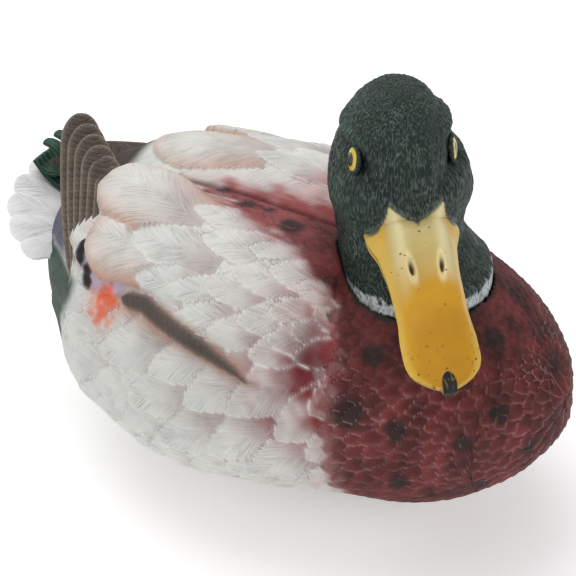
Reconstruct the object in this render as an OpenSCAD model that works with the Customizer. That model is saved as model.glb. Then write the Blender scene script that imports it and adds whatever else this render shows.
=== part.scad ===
// Floating drake duck decoy: a hollow body on a weighted keel, with a head that turns on its neck.
// The duck faces -Y, +Z is up, and the origin is the centre of the keel's flat underside.

/* [Body] */
// Length of the body from the breast to the rump, without the tail fan
body_length = 270; // [264:1:276]
// Width of the body at the wings
body_width = 186; // [180:1:192]
// Height of the hull's flat bottom above the keel's underside
keel_height = 24; // [22:1:28]
// Height of the widest line of the body above the hull's bottom
beam_height = 51; // [49:1:53]
// Height of the wing crests above the widest line
back_height = 69; // [66:1:72]
// Thickness of the moulded walls
wall = 4; // [3:0.5:5]

/* [Head and neck] */
// Radius of the neck where it stands in the body
neck_r = 34; // [33:0.5:35]
// How far the head is turned to the duck's right at rest, in degrees
head_turn = 47.6; // [0:0.2:60]
// How far the head's middle plane stands to the right of the neck's axis
head_shift = 7; // [4:1:8]
// Diameter of the glass eyes
eye_d = 11; // [10:0.5:12]

/* [Keel] */
// Length of the keel
keel_length = 150; // [140:2:160]
// Width of the keel's flat foot
keel_width = 38; // [36:1:44]
// Radius of the holes for the anchor line
line_hole_r = 3.5; // [3:0.25:4]

/* [Hidden] */
$fn = 64;

gap = 0.2;
run_gap = 0.05;
breast_y = -145;
beam_z = keel_height + beam_height;

// ---- Smooth curves ----
// Monotone cubic interpolation through the rows of a table whose first column is the station.
function secant(t, k, c) = (t[k + 1][c] - t[k][c]) / (t[k + 1][0] - t[k][0]);
function slope(t, k, c) =
    k == 0 ? secant(t, 0, c)
    : k == len(t) - 1 ? secant(t, k - 1, c)
    : let (a = secant(t, k - 1, c), b = secant(t, k, c)) a * b <= 0 ? 0 : 2 * a * b / (a + b);
function row_below(t, s, k = 0) = k >= len(t) - 2 || s < t[k + 1][0] ? k : row_below(t, s, k + 1);
function smooth(t, s, c) =
    let (k = row_below(t, s), h = t[k + 1][0] - t[k][0], u = (s - t[k][0]) / h)
    t[k][c] * (1 + 2 * u) * (1 - u) * (1 - u) + slope(t, k, c) * h * u * (1 - u) * (1 - u)
    + t[k + 1][c] * u * u * (3 - 2 * u) + slope(t, k + 1, c) * h * u * u * (u - 1);
// A quarter-round nose: 0 at the tip, 1 from u = 1 on.
function blunt(u) = u >= 1 ? 1 : u <= 0 ? 0 : sqrt(u * (2 - u));
function signed_power(v, p) = sign(v) * pow(abs(v), p);
// The larger of two heights, with the crease between them rounded over about k millimetres.
function soft_max(a, b, k) = max(a, b) + k * ln(1 + exp(-abs(a - b) / k));
function bezier(p, t) = (1 - t) * (1 - t) * p[0] + 2 * t * (1 - t) * p[1] + t * t * p[2];
function bezier_way(p, t) = 2 * (1 - t) * (p[1] - p[0]) + 2 * t * (p[2] - p[1]);
function unit(v) = v / norm(v);

// A closed skin through rings of points, with a point at each end.
module skin(rings, first, last) {
    n = len(rings[0]);
    m = len(rings);
    points = concat([first], [for (r = rings) for (p = r) p], [last]);
    cap_a = [for (j = [0:n - 1]) [0, 1 + (j + 1) % n, 1 + j]];
    cap_b = [for (j = [0:n - 1]) [m * n + 1, (m - 1) * n + 1 + j, (m - 1) * n + 1 + (j + 1) % n]];
    side = [for (i = [0:m - 2], j = [0:n - 1])
        let (a = 1 + i * n + j, b = 1 + i * n + (j + 1) % n)
        each [[a, b, b + n], [a, b + n, a + n]]];
    polyhedron(points, concat(cap_a, side, cap_b));
}

// A feather vane along a curve: width and thickness at its broadest, lying flat across the up direction.
module vane(curve, width, thick, up) {
    rows = [for (k = [0:7]) k / 7 * 0.94 + 0.03];
    shape = function (t) blunt(t / 0.25) * blunt((1 - t) / 0.3);
    rings = [for (t = rows)
        let (way = unit(bezier_way(curve, t)), side = unit(cross(way, up)), top = cross(side, way))
        [for (a = [0:45:315])
            bezier(curve, t) + shape(t) * (width / 2 * cos(a) * side + thick / 2 * sin(a) * top)]];
    skin(rings, curve[0], curve[2]);
}

// ---- Body ----
// Stations along the body: share of its length, half-width, crest above the widest line, floor below
// it, rise of the widest line, each as a share of the driving size, and depth of the valley in mm.
BODY = [
    [0.00, 0.52, 0.40, 0.80, 0.00, 0],
    [0.16, 0.67, 0.50, 0.91, 0.00, 0],
    [0.30, 0.80, 0.78, 0.92, 0.00, 2],
    [0.42, 0.93, 0.97, 0.96, 0.00, 6],
    [0.56, 1.00, 1.00, 1.00, 0.00, 7],
    [0.78, 0.83, 0.93, 0.80, 0.02, 7],
    [0.93, 0.44, 0.68, 0.45, 0.08, 2],
    [1.00, 0.36, 0.40, 0.32, 0.12, 0],
];
breast_round = 0.22;
rump_round = 0.10;
valley_half_width = 15;
neck_y = -69;
collar_z = 126;
collar_slope = 0.70;
collar_fall = 16;
collar_blend = 3;
socket_r = neck_r + 0.8;
socket_floor_z = 112;
socket_wall_height = 6;
socket_clear = 60;
floor_thick = 6;
split_z = keel_height + 16;
seal_thick = 1.2;

function ends(s) = blunt(s / breast_round) * blunt((1 - s) / rump_round);
// Height of the collar that the body raises round the neck.
function collar_top(r) =
    let (out = max(0, r - socket_r))
    collar_z - collar_slope * out - pow(out / collar_fall, 2);
// One point of the body's skin, at station s and angle a round the section, moved in by inset.
function body_point(s, a, inset) =
    let (
        e = ends(s),
        w = max(0.01, (body_width / 2 - inset) * smooth(BODY, s, 1) * e),
        up = max(0.01, (back_height - inset) * smooth(BODY, s, 2) * e),
        down = max(0.01, (beam_height - inset) * smooth(BODY, s, 3) * e),
        x = w * signed_power(cos(a), 0.86),
        y = breast_y + inset + s * (body_length - 2 * inset),
        rise = sin(a) >= 0 ? up * signed_power(sin(a), 0.9) : down * signed_power(sin(a), 0.72),
        dip = smooth(BODY, s, 5) * e * exp(-pow(x / valley_half_width, 2)),
        valley = max(0, sin(a)) * dip,
        z = beam_z + smooth(BODY, s, 4) * back_height + rise - valley,
        collar = soft_max(z, collar_top(norm([x, y - neck_y])) - inset, collar_blend)
    )
    [x, y, sin(a) <= 0 ? z : z + sin(a) * (collar - z)];

module body_solid(inset, m, n) {
    stations = [for (i = [1:m]) (1 - cos(180 * i / (m + 1))) / 2];
    rings = [for (s = stations) [for (j = [0:n - 1]) body_point(s, 360 * j / n, inset)]];
    skin(rings, body_point(0, 0, inset), body_point(1, 0, inset));
}
module outer() body_solid(0, 30, 36);
module inner() body_solid(wall, 14, 20);
module at_neck(z) translate([0, neck_y, z]) children();
// Half spaces above and below a height.
big = 400;
module above(z) translate([-big / 2, -big / 2, z]) cube([big, big, big]);
module below(z) translate([-big / 2, -big / 2, z - big]) cube([big, big, big]);

// Screws that close the hull: half spacing across, place along the body and height of the seat.
HULL_SCREWS = [[32, -88, 31.4], [54, -20, 29.0], [40, 44, 32.2]];
screw_r = 1.75;
screw_head_r = 3.5;
screw_head = 2.4;
hull_boss_r = 5;
hull_boss_top = split_z + 14;
module at_hull_screws()
    for (p = HULL_SCREWS, side = [-1, 1])
        translate([side * p[0], p[1], 0]) children();

plug_y = 92;
plug_r = 6;
plug_flange_r = 9.5;
// Underside and top of the bush that the plug stands in.
plug_pad_z = 46;
plug_pad_top = 60;
plug_boss_r = 12;
peg_r = 3;
peg_length = 9;
// Where each glued-in feather group is pegged to the body.
fan_peg = [10, 104, 104];
right_peg = [-48, 78, 104];
left_peg = [38, 82, 112];
curl_peg = [0, 112, 108];
module peg(p, way, r) translate(p) rotate(way) cylinder(r = r, h = 2 * peg_length, center = true);

module at_keel_screws()
    for (x = [-1, 1], y = [-1, 1])
        translate([x * keel_screw_x, y * keel_screw_y, 0]) children();

module body_shell() color("ivory")
    difference() {
        outer();
        inner();
        below(split_z);
        at_neck(socket_floor_z) cylinder(r = socket_r, h = socket_clear);
        socket_cup();
        translate([0, plug_y, split_z - 4]) cylinder(r = plug_boss_r, h = plug_pad_top - split_z + 4);
        peg(fan_peg, [90, 0, 0], peg_r);
        peg(right_peg, [0, 0, 0], peg_r);
        peg(left_peg, [0, 0, 0], peg_r);
        peg(curl_peg, [0, 0, 0], peg_r);
    }

module base_pan() color("ivory")
    difference() {
        outer();
        inner();
        above(split_z - seal_thick);
        at_hull_screws() cylinder(r = screw_r + gap, h = big);
        at_keel_screws() cylinder(r = screw_r + gap, h = big);
        for (p = HULL_SCREWS, side = [-1, 1])
            translate([side * p[0], p[1], 0]) cylinder(r = screw_head_r + gap, h = p[2]);
    }

// A board glued across the hull, with the posts that take its screws and the keel's.
deck_thick = 3;
deck_window = [44, 50];
module screw_post(r, below_deck, short)
    translate([0, 0, split_z - below_deck])
        cylinder(r = r, h = hull_boss_top - split_z + below_deck - short);
module deck_board() color("burlywood")
    difference() {
        union() {
            intersection() {
                inner();
                above(split_z);
                below(split_z + deck_thick);
            }
            at_hull_screws() screw_post(hull_boss_r, 0, 0);
            at_keel_screws() screw_post(hull_boss_r, 0, 0);
        }
        translate([-deck_window[0] / 2, -deck_window[1] / 2, split_z - 1])
            cube([deck_window[0], deck_window[1], 2 * deck_thick + 2]);
        at_hull_screws() screw_post(screw_r, 1, 2);
        at_keel_screws() screw_post(screw_r, 1, 2);
    }

// The cup that holds the neck, glued under the hole in the shell.
module socket_cup()
    at_neck(socket_floor_z - floor_thick)
        cylinder(r = socket_r + wall, h = floor_thick + socket_wall_height);
module neck_socket() color("burlywood")
    difference() {
        socket_cup();
        at_neck(socket_floor_z) cylinder(r = socket_r, h = socket_clear);
        at_neck(socket_floor_z - socket_clear / 2) cylinder(r = bush_r, h = socket_clear);
    }

module hull_seal() color("dimgray")
    difference() {
        intersection() {
            outer();
            above(split_z - seal_thick);
            below(split_z);
        }
        inner();
    }

module screw(top) {
    translate([0, 0, -screw_head]) difference() {
        cylinder(r = screw_head_r, h = screw_head);
        translate([0, 0, -1]) cylinder(r = 1.5, h = 2, $fn = 6);
    }
    translate([0, 0, -0.4]) cylinder(r = screw_r, h = top + 0.4);
}
module hull_screws() color("silver")
    for (p = HULL_SCREWS, side = [-1, 1])
        translate([side * p[0], p[1], p[2]]) screw(hull_boss_top - p[2] - 3);

foam_front_y = -24;
foam_rear_y = 66;
foam_floor_z = split_z + 22;
module foam_core() color("khaki")
    intersection() {
        inner();
        translate([-big / 2, foam_front_y, foam_floor_z]) cube([big, foam_rear_y - foam_front_y, big]);
    }

// ---- Glued-in feather groups ----
// The tail fan: nine broad feathers, cocked up at the rear.
fan_centre = [0, 116, 100];
fan_reach = [45, 27, 18];
fan_root = [8, -22, -4];
fan_thick = 4.5;
fan_scallop = 0.07;
// The fan's edge at an angle from straight back, with a scallop for each feather.
function fan_tip(turn) = fan_centre + (1 - fan_scallop + fan_scallop * abs(cos(4.5 * turn)))
    * [fan_reach[0] * sin(turn), fan_reach[1] * cos(turn), fan_reach[2] * cos(turn)];
function fan_foot(turn) = fan_centre + [fan_root[0] * sin(turn), fan_root[1], fan_root[2]];
function fan_section_middle(turn) = (fan_tip(turn) + fan_foot(turn)) / 2;
function fan_section(turn) =
    [for (a = [0:45:315]) let (m = fan_section_middle(turn), reach = (fan_tip(turn) - fan_foot(turn)) / 2)
        m + cos(a) * reach + [0, -0.3, 1] * fan_thick / 2 * sin(a)];
module tail_fan() color("white") {
    difference() {
        skin(
            [for (turn = [90:-5:-90]) fan_section(turn)],
            fan_section_middle(90),
            fan_section_middle(-90)
        );
        outer();
        peg(curl_peg, [0, 0, 0], peg_r);
    }
    peg(fan_peg, [90, 0, 0], peg_r);
}

flight_thick = 4;
// The right wing's flight feathers: six that overlap and rise across the rump.
module right_wing_primaries() color("saddlebrown") {
    difference() {
        for (k = [0:5])
            let (
                root = [-64, 63 - k, 106],
                bend = [-30 - 3 * k, 95 - 4 * k, 125 + k],
                tip = [-4 - 4 * k, 107 - 5 * k, 158 - 3.5 * k]
            )
            vane([root, bend, tip], 18, flight_thick, [-0.5, -0.3, 0.8]);
        outer();
    }
    peg(right_peg, [0, 0, 0], peg_r);
}

// The left wing's flight feathers: three that lie lower and pass under the right wing's.
module left_wing_primaries() color("saddlebrown") {
    difference() {
        for (k = [0:2])
            let (
                root = [50, 66, 112 + k],
                bend = [24 + 3 * k, 104 - 4 * k, 120 + k],
                tip = [-3 + 9 * k, 137 - 9 * k, 119 + 2 * k]
            )
            vane([root, bend, tip], 13, flight_thick, [0, 0, 1]);
        outer();
    }
    peg(left_peg, [0, 0, 0], peg_r);
}

// The drake's two curled tail feathers.
curl_r = 8;
curl_wire_r = 3;
module tail_curls() color("darkgreen") {
    for (side = [-1, 1])
        translate([side * 3.5, 128, 127])
            rotate([90, 0, 90 + side * 8])
            rotate([0, 0, 200])
            rotate_extrude(angle = 270)
            translate([curl_r, 0])
            scale([0.6, 1])
            circle(r = curl_wire_r, $fn = 20);
    peg(curl_peg, [0, 0, 0], peg_r);
}

// ---- Drain plug ----
plug_reach = 12;
module plug_bush() color("burlywood")
    translate([0, plug_y, plug_pad_z]) difference() {
        cylinder(r = plug_boss_r, h = plug_pad_top - plug_pad_z);
        translate([0, 0, -1]) cylinder(r = plug_r + run_gap, h = plug_pad_top);
    }
module drain_plug() color("black")
    translate([0, plug_y, plug_pad_z - seal_thick]) {
        translate([0, 0, -3]) cylinder(r = plug_flange_r, h = 3);
        translate([0, 0, -1]) cylinder(r = plug_r, h = 1 + seal_thick + plug_reach);
        translate([-1.5, -plug_flange_r + 2, -7]) cube([3, 2 * plug_flange_r - 4, 5]);
    }
module plug_seal() color("dimgray")
    translate([0, plug_y, plug_pad_z - seal_thick]) difference() {
        cylinder(r = plug_flange_r - 0.5, h = seal_thick);
        translate([0, 0, -1]) cylinder(r = plug_r, h = seal_thick + 2);
    }

// ---- Keel ----
keel_trough = keel_length - 64;
keel_fin = 10;
keel_bay_wall = 6;
keel_bay_floor = 5;
keel_screw_x = keel_width / 2 - 7;
keel_screw_y = keel_trough / 2 - 6;
line_hole_y = keel_length / 2 - 10;
line_hole_z = 11;
keel_saddle = 9;
keel_screw_seat = 5;
module keel_bay(inset, h)
    translate([0, 0, keel_bay_floor]) linear_extrude(h)
        square([keel_width - 28 - 2 * inset, keel_trough - 2 * keel_bay_wall - 2 * inset], center = true);
module keel() color("darkolivegreen")
    difference() {
        union() {
            translate([-keel_width / 2, -keel_trough / 2, 0])
                cube([keel_width, keel_trough, keel_height + keel_saddle]);
            translate([-keel_fin / 2, -keel_length / 2, 0])
                cube([keel_fin, keel_length, keel_height + keel_saddle]);
        }
        outer();
        keel_bay(0, keel_height);
        at_keel_screws() {
            cylinder(r = screw_r + gap, h = big);
            cylinder(r = screw_head_r + gap, h = 2 * keel_screw_seat, center = true);
        }
        for (y = [-1, 1])
            translate([-keel_fin, y * line_hole_y, line_hole_z])
                rotate([0, 90, 0])
                cylinder(r = line_hole_r, h = 2 * keel_fin);
    }
module keel_ballast() color("gray") keel_bay(gap, keel_height - keel_bay_floor - 3);
module keel_screws() color("silver")
    at_keel_screws() translate([0, 0, keel_screw_seat]) screw(hull_boss_top - keel_screw_seat - 3);

// ---- Head ----
// The head's own frame stands on the neck's axis and faces -Y: this turns it to its place at rest.
module head_frame() translate([0, neck_y, 0]) rotate([0, 0, -head_turn]) children();
// Levels up the head and neck: height, middle's reach forward, half-length, half-width, and share
// of the sideways shift.
HEAD = [
    [113, 0.0, 34.0, 34.0, 0.00],
    [133, 0.0, 34.0, 34.0, 0.00],
    [142, -2.0, 31.0, 30.5, 0.50],
    [152, -5.5, 26.5, 28.0, 0.95],
    [163, -8.5, 28.5, 29.0, 1.00],
    [174, -10.0, 32.0, 30.6, 1.00],
    [184, -11.0, 32.5, 29.0, 1.00],
    [193, -11.5, 31.0, 25.5, 1.00],
    [203, -12.0, 26.0, 22.5, 1.00],
    [211, -13.0, 18.5, 16.0, 1.00],
    [216, -14.0, 8.0, 6.5, 1.00],
];
head_top = HEAD[len(HEAD) - 1][0];
function head_point(z, a, inset) = [
    max(0.5, smooth(HEAD, z, 3) - inset) * cos(a) - head_shift * smooth(HEAD, z, 4),
    -smooth(HEAD, z, 1) - max(0.5, smooth(HEAD, z, 2) - inset) * sin(a),
    z,
];
function head_middle(z) = [-head_shift * smooth(HEAD, z, 4), -smooth(HEAD, z, 1), z];
module head_solid(inset, base, m, n) {
    top = head_top - inset;
    levels = [for (i = [0:m]) base + (top - base) * sin(90 * i / m)];
    rings = [for (z = levels) [for (j = [0:n - 1]) head_point(z, 360 * j / n, inset)]];
    skin(rings, head_middle(base), head_middle(top) + [0, 0, 0.6]);
}
neck_base_z = HEAD[0][0];
neck_bore_r = neck_r - wall - 1.5;
spigot_plate_z = 115;
spigot_plate = 4;
eye_depth = 2.5;
eye_z = 190.9;
eye_y = 0.65;
eye_x = 23.2;
eye_yaw = 72;
eye_pitch = 78;
// Each eye looks out, forward and a little up.
module at_eye(side) head_frame() translate([side * eye_x - head_shift, eye_y, eye_z])
    rotate([0, 0, side * eye_yaw]) rotate([eye_pitch, 0, 0]) children();
module head_outer() head_frame() head_solid(0, neck_base_z, 22, 28);
bill_peg_z = 160;
module bill_peg()
    head_frame() translate([-head_shift, -8, bill_peg_z]) rotate([90, 0, 0]) cylinder(r = 5, h = 20);
module head_shell() color("darkgreen")
    difference() {
        head_outer();
        head_frame() head_solid(wall, neck_base_z + 10, 12, 16);
        at_neck(neck_base_z - 1) cylinder(r = neck_bore_r, h = 16);
        for (side = [-1, 1]) at_eye(side) translate([0, 0, -eye_depth]) cylinder(r = eye_d / 2, h = 20);
        bill_peg();
    }
module eye() color("gold") {
    cylinder(r = eye_d / 2, h = eye_depth);
    translate([0, 0, eye_depth]) rotate_extrude() intersection() {
        translate([0, -eye_d / 2]) circle(r = eye_d * 0.72);
        square([eye_d / 2, eye_d]);
    }
}
module right_eye() at_eye(-1) translate([0, 0, -eye_depth]) eye();
module left_eye() at_eye(1) translate([0, 0, -eye_depth]) eye();

// Stations along the bill: reach forward of the neck's axis, half-width, and the heights of its
// crest, edge and underside.
BILL = [
    [6, 19.5, 168.0, 158.5, 151.0],
    [16, 20.2, 173.0, 157.0, 149.5],
    [26, 17.0, 171.0, 153.0, 146.5],
    [41, 13.6, 159.5, 147.0, 141.0],
    [52, 14.6, 150.5, 141.5, 136.0],
    [64, 17.0, 142.0, 135.0, 130.0],
    [74, 16.5, 134.5, 129.5, 126.0],
    [82, 14.0, 129.5, 126.5, 124.0],
];
bill_tip = BILL[len(BILL) - 1][0];
bill_round = 13;
module bill_solid(m, n) {
    start = BILL[0][0];
    reaches = [for (i = [1:m]) start + (bill_tip - start) * sin(90 * i / (m + 1))];
    rings = [for (q = reaches)
        let (
            e = blunt((bill_tip - q) / bill_round),
            half = smooth(BILL, q, 1) * e,
            edge = smooth(BILL, q, 3),
            crest = (smooth(BILL, q, 2) - edge) * (0.5 + 0.5 * e),
            under = (edge - smooth(BILL, q, 4)) * (0.5 + 0.5 * e)
        )
        [for (j = [0:n - 1])
            let (a = 360 * j / n)
            [-half * cos(a) - head_shift, -q, edge + (sin(a) > 0 ? crest : under) * sin(a)]]];
    root = [-head_shift, -start, smooth(BILL, start, 3)];
    tip = [-head_shift, -bill_tip, smooth(BILL, bill_tip, 3)];
    skin(rings, root, tip);
}
module bill() color("goldenrod") {
    difference() {
        head_frame() bill_solid(16, 18);
        head_outer();
    }
    bill_peg();
}

// ---- Neck swivel ----
bush_r = 11;
bush_flange_r = 16;
bush_flange = 2;
journal_r = 7;
bolt_r = 3;
bolt_clear = 0.1;
bush_foot_z = socket_floor_z - floor_thick;
thrust_z = socket_floor_z + bush_flange;
nut_z = 88;
nut_height = 4;
nut_r = 5.5;
plate_thick = 1.5;
module neck_bush() color("white")
    at_neck(bush_foot_z) difference() {
        union() {
            cylinder(r = bush_r, h = floor_thick + bush_flange);
            translate([0, 0, floor_thick]) cylinder(r = bush_flange_r, h = bush_flange);
        }
        translate([0, 0, -1]) cylinder(r = journal_r + run_gap, h = 20);
    }
module neck_spigot() color("lightgray")
    difference() {
        union() {
            at_neck(bush_foot_z) cylinder(r = journal_r, h = spigot_plate_z - bush_foot_z + 1);
            at_neck(spigot_plate_z) cylinder(r = neck_bore_r, h = spigot_plate);
        }
        at_neck(bush_foot_z - 1) cylinder(r = bolt_r + bolt_clear, h = 20);
    }
module thrust_washer() color("white")
    at_neck(thrust_z) difference() {
        cylinder(r = bush_flange_r, h = spigot_plate_z - thrust_z);
        translate([0, 0, -1]) cylinder(r = journal_r + gap, h = 4);
    }
module neck_bolt() color("silver") {
    at_neck(nut_z - 2) cylinder(r = bolt_r, h = spigot_plate_z + spigot_plate - nut_z + 2);
    at_neck(spigot_plate_z + spigot_plate) cylinder(r = nut_r, h = nut_height, $fn = 6);
}
module spring_washers() color("silver")
    for (z = [nut_z + nut_height, bush_foot_z - plate_thick])
        at_neck(z) difference() {
            cylinder(r = 10, h = plate_thick);
            translate([0, 0, -1]) cylinder(r = bolt_r + bolt_clear, h = 4);
        }
module neck_nut() color("silver")
    at_neck(nut_z) difference() {
        cylinder(r = nut_r, h = nut_height, $fn = 6);
        translate([0, 0, -1]) cylinder(r = bolt_r, h = nut_height + 2);
    }
spring_foot_z = nut_z + nut_height + plate_thick;
spring_top_z = bush_foot_z - plate_thick;
spring_r = 6.5;
spring_wire_r = 0.9;
spring_turns = 4;
module friction_spring() color("silver") {
    steps = 12 * spring_turns;
    rise = spring_top_z - spring_foot_z - 2 * spring_wire_r;
    outward = function (k) [cos(30 * k), sin(30 * k), 0];
    centre = function (k) spring_r * outward(k) + [0, 0, spring_foot_z + spring_wire_r + rise * k / steps];
    rings = [for (k = [0:steps])
        [for (a = [0:45:315])
            centre(k) + spring_wire_r * (cos(a) * outward(k) + sin(a) * [0, 0, 1])]];
    translate([0, neck_y, 0]) skin(rings, centre(0), centre(steps));
}

body_shell();
base_pan();
hull_seal();
hull_screws();
deck_board();
foam_core();
tail_fan();
right_wing_primaries();
left_wing_primaries();
tail_curls();
neck_socket();
neck_bush();
keel();
keel_ballast();
keel_screws();
plug_bush();
drain_plug();
plug_seal();
head_shell();
bill();
right_eye();
left_eye();
neck_spigot();
thrust_washer();
neck_bolt();
spring_washers();
friction_spring();
neck_nut();
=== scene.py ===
import bpy
import numpy as np
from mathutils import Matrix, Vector


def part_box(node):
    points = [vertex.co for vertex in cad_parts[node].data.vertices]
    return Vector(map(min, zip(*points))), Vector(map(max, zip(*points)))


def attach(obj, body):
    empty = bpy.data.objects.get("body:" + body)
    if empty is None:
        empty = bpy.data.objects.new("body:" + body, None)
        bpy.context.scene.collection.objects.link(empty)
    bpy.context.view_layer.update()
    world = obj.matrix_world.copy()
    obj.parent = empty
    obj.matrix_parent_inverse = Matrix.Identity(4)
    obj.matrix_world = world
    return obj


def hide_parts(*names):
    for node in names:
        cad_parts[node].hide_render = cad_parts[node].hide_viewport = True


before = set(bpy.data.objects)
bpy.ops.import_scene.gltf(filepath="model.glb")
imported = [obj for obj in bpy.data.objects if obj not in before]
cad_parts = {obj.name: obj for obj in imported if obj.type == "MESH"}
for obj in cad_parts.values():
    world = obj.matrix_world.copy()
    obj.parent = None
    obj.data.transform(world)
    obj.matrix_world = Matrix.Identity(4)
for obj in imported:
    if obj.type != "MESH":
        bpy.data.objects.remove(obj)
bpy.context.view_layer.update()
MM = 0.001
rng = np.random.default_rng(11)


# ---------------------------------------------------------------- small maths
def box_mm(node):
    lo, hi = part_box(node)
    return np.array(lo) / MM, np.array(hi) / MM


def unit(v):
    return v / np.maximum(np.linalg.norm(v, axis=-1, keepdims=True), 1e-9)


def blunt(u):
    u = clamp(u)
    return np.sqrt(u * (2 - u))


def signed_power(v, p):
    return np.sign(v) * np.abs(v) ** p


def clamp(v):
    return np.clip(v, 0, 1)


def bell(v, width):
    return np.exp(-((v / width) ** 2))


def ramp(v, lo, hi):
    t = clamp((v - lo) / (hi - lo))
    return t * t * (3 - 2 * t)


def curve_through(rows, s, column):
    """Monotone cubic through the rows of a table whose first column is the station."""
    rows = np.array(rows, float)
    x, y = rows[:, 0], rows[:, column]
    h = np.diff(x)
    d = np.diff(y) / h
    m = np.zeros(len(x))
    m[0], m[-1] = d[0], d[-1]
    for k in range(1, len(x) - 1):
        m[k] = 0 if d[k - 1] * d[k] <= 0 else 2 * d[k - 1] * d[k] / (d[k - 1] + d[k])
    k = np.clip(np.searchsorted(x, s, side="right") - 1, 0, len(x) - 2)
    u = (s - x[k]) / h[k]
    first = y[k] * (1 + 2 * u) * (1 - u) ** 2 + m[k] * h[k] * u * (1 - u) ** 2
    return first + y[k + 1] * u * u * (3 - 2 * u) + m[k + 1] * h[k] * u * u * (u - 1)


def lumps(points, size, seed):
    """Smooth random values from 0 to 1, with bumps about size millimetres apart."""
    table = np.random.default_rng(seed).random((32, 32, 32))
    q = points / size
    i = np.floor(q).astype(int)
    f = q - i
    f = f * f * (3 - 2 * f)
    total = 0
    for dx in (0, 1):
        for dy in (0, 1):
            for dz in (0, 1):
                w = 1
                for axis, step in enumerate((dx, dy, dz)):
                    w = w * (f[..., axis] if step else 1 - f[..., axis])
                total = total + w * table[(i[..., 0] + dx) % 32, (i[..., 1] + dy) % 32, (i[..., 2] + dz) % 32]
    return total


def rgb(r, g, b):
    v = np.array([r, g, b], float) / 255
    return np.where(v <= 0.04045, v / 12.92, ((v + 0.055) / 1.055) ** 2.4)


def mix(a, b, t):
    return a + (b - a) * np.asarray(t)[..., None]


def soften(values, passes):
    for _ in range(passes):
        p = np.pad(values, ((1, 1), (1, 1)) + ((0, 0),) * (values.ndim - 2), mode="edge")
        values = (p[:-2, 1:-1] + p[2:, 1:-1] + p[1:-1, :-2] + p[1:-1, 2:] + 4 * values) / 8
    return values


def frames_along(path, up):
    way = unit(np.gradient(path, axis=0))
    side = unit(np.cross(way, np.broadcast_to(up, way.shape)))
    return way, side, np.cross(side, way)


# ---------------------------------------------------------------- meshes
def grid_quads(rows, columns, wrap):
    last = columns if wrap else columns - 1
    i, j = np.meshgrid(np.arange(rows - 1), np.arange(last), indexing="ij")
    a, b = i * columns + j, i * columns + (j + 1) % columns
    return np.stack([a, b, b + columns, a + columns], -1).reshape(-1, 4)


def end_caps(rows, around):
    """Triangles from the first ring to an extra point, and from the last ring to the next extra point."""
    m = rows * around
    faces = [[m, j, (j + 1) % around] for j in range(around)]
    return faces + [[m + 1, m - around + (j + 1) % around, m - around + j] for j in range(around)]


def add_mesh(name, points, faces, body, finish, replaces=(), slot=None, **fields):
    """A piece from points in millimetres; fields become vertex attributes that its material reads."""
    mesh = bpy.data.meshes.new(name)
    mesh.from_pydata((points.reshape(-1, 3) * MM).tolist(), [], faces if isinstance(faces, list)
        else faces.tolist())
    mesh.polygons.foreach_set("use_smooth", [True] * len(mesh.polygons))
    for key, values in fields.items():
        values = np.asarray(values, np.float32)
        if values.shape[-1] == 3 and values.ndim > 1 and values.size == points.size:
            rgba = np.concatenate([values.reshape(-1, 3), np.ones((values.size // 3, 1), np.float32)], 1)
            mesh.attributes.new(key, "FLOAT_COLOR", "POINT").data.foreach_set("color", rgba.ravel())
        else:
            mesh.attributes.new(key, "FLOAT", "POINT").data.foreach_set("value", values.ravel())
    mesh.materials.append(finish)
    mesh.update()
    obj = bpy.data.objects.new(name, mesh)
    bpy.context.scene.collection.objects.link(obj)
    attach(obj, body)
    if replaces:
        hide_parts(*replaces)
    return obj


# ---------------------------------------------------------------- materials
class Finish:
    """A node-built material: add() makes a node, feeds its inputs and returns it."""

    def __init__(self, name):
        self.material = bpy.data.materials.new(name)
        self.material.use_nodes = True
        self.tree = self.material.node_tree
        self.tree.nodes.clear()

    def add(self, kind, inputs=None, **settings):
        node = self.tree.nodes.new("ShaderNode" + kind)
        for key, value in settings.items():
            setattr(node, key, value)
        for key, value in (inputs or {}).items():
            if isinstance(value, bpy.types.NodeSocket):
                self.tree.links.new(value, node.inputs[key])
            else:
                node.inputs[key].default_value = value
        return node

    def field(self, name, output="Fac"):
        return self.add("Attribute", attribute_name=name).outputs[output]

    def remap(self, value, low, high, new_low, new_high):
        return self.add("MapRange", {0: value, 1: low, 2: high, 3: new_low, 4: new_high}).outputs[0]

    def math(self, operation, a, b=0.0):
        return self.add("Math", {0: a, 1: b}, operation=operation).outputs[0]

    def noise(self, scale, vector=None, detail=3.0):
        if vector is None:
            vector = self.add("TexCoord").outputs["Object"]
        return self.add("TexNoise", {"Vector": vector, "Scale": scale, "Detail": detail}).outputs["Fac"]

    def ramp(self, value, stops):
        node = self.add("ValToRGB", {0: value})
        while len(node.color_ramp.elements) < len(stops):
            node.color_ramp.elements.new(0.5)
        for element, (place, shade) in zip(node.color_ramp.elements, stops):
            element.position = place
            element.color = (*shade, 1) if isinstance(shade, tuple) else (shade, shade, shade, 1)
        return node.outputs[0]

    def blend(self, a, b, amount, kind="MIX"):
        node = self.add("MixRGB", {0: amount}, blend_type=kind)
        for key, value in ((1, a), (2, b)):
            if isinstance(value, bpy.types.NodeSocket):
                self.tree.links.new(value, node.inputs[key])
            else:
                node.inputs[key].default_value = (*value, 1)
        return node.outputs[0]

    def finish(self, colour, height, depth, roughness, metallic=0.0, coat=0.0, strength=1.0):
        bump = self.add("Bump", {"Height": height, "Distance": depth * MM, "Strength": strength})
        shader = self.add(
            "BsdfPrincipled",
            {
                "Base Color": colour,
                "Normal": bump.outputs[0],
                "Roughness": roughness,
                "Metallic": metallic,
                "Coat Weight": coat,
                "Coat Roughness": 0.12,
                "Specular IOR Level": 0.25,
            },
        )
        out = self.add("OutputMaterial")
        self.tree.links.new(shader.outputs[0], out.inputs[0])
        return self.material


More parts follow.
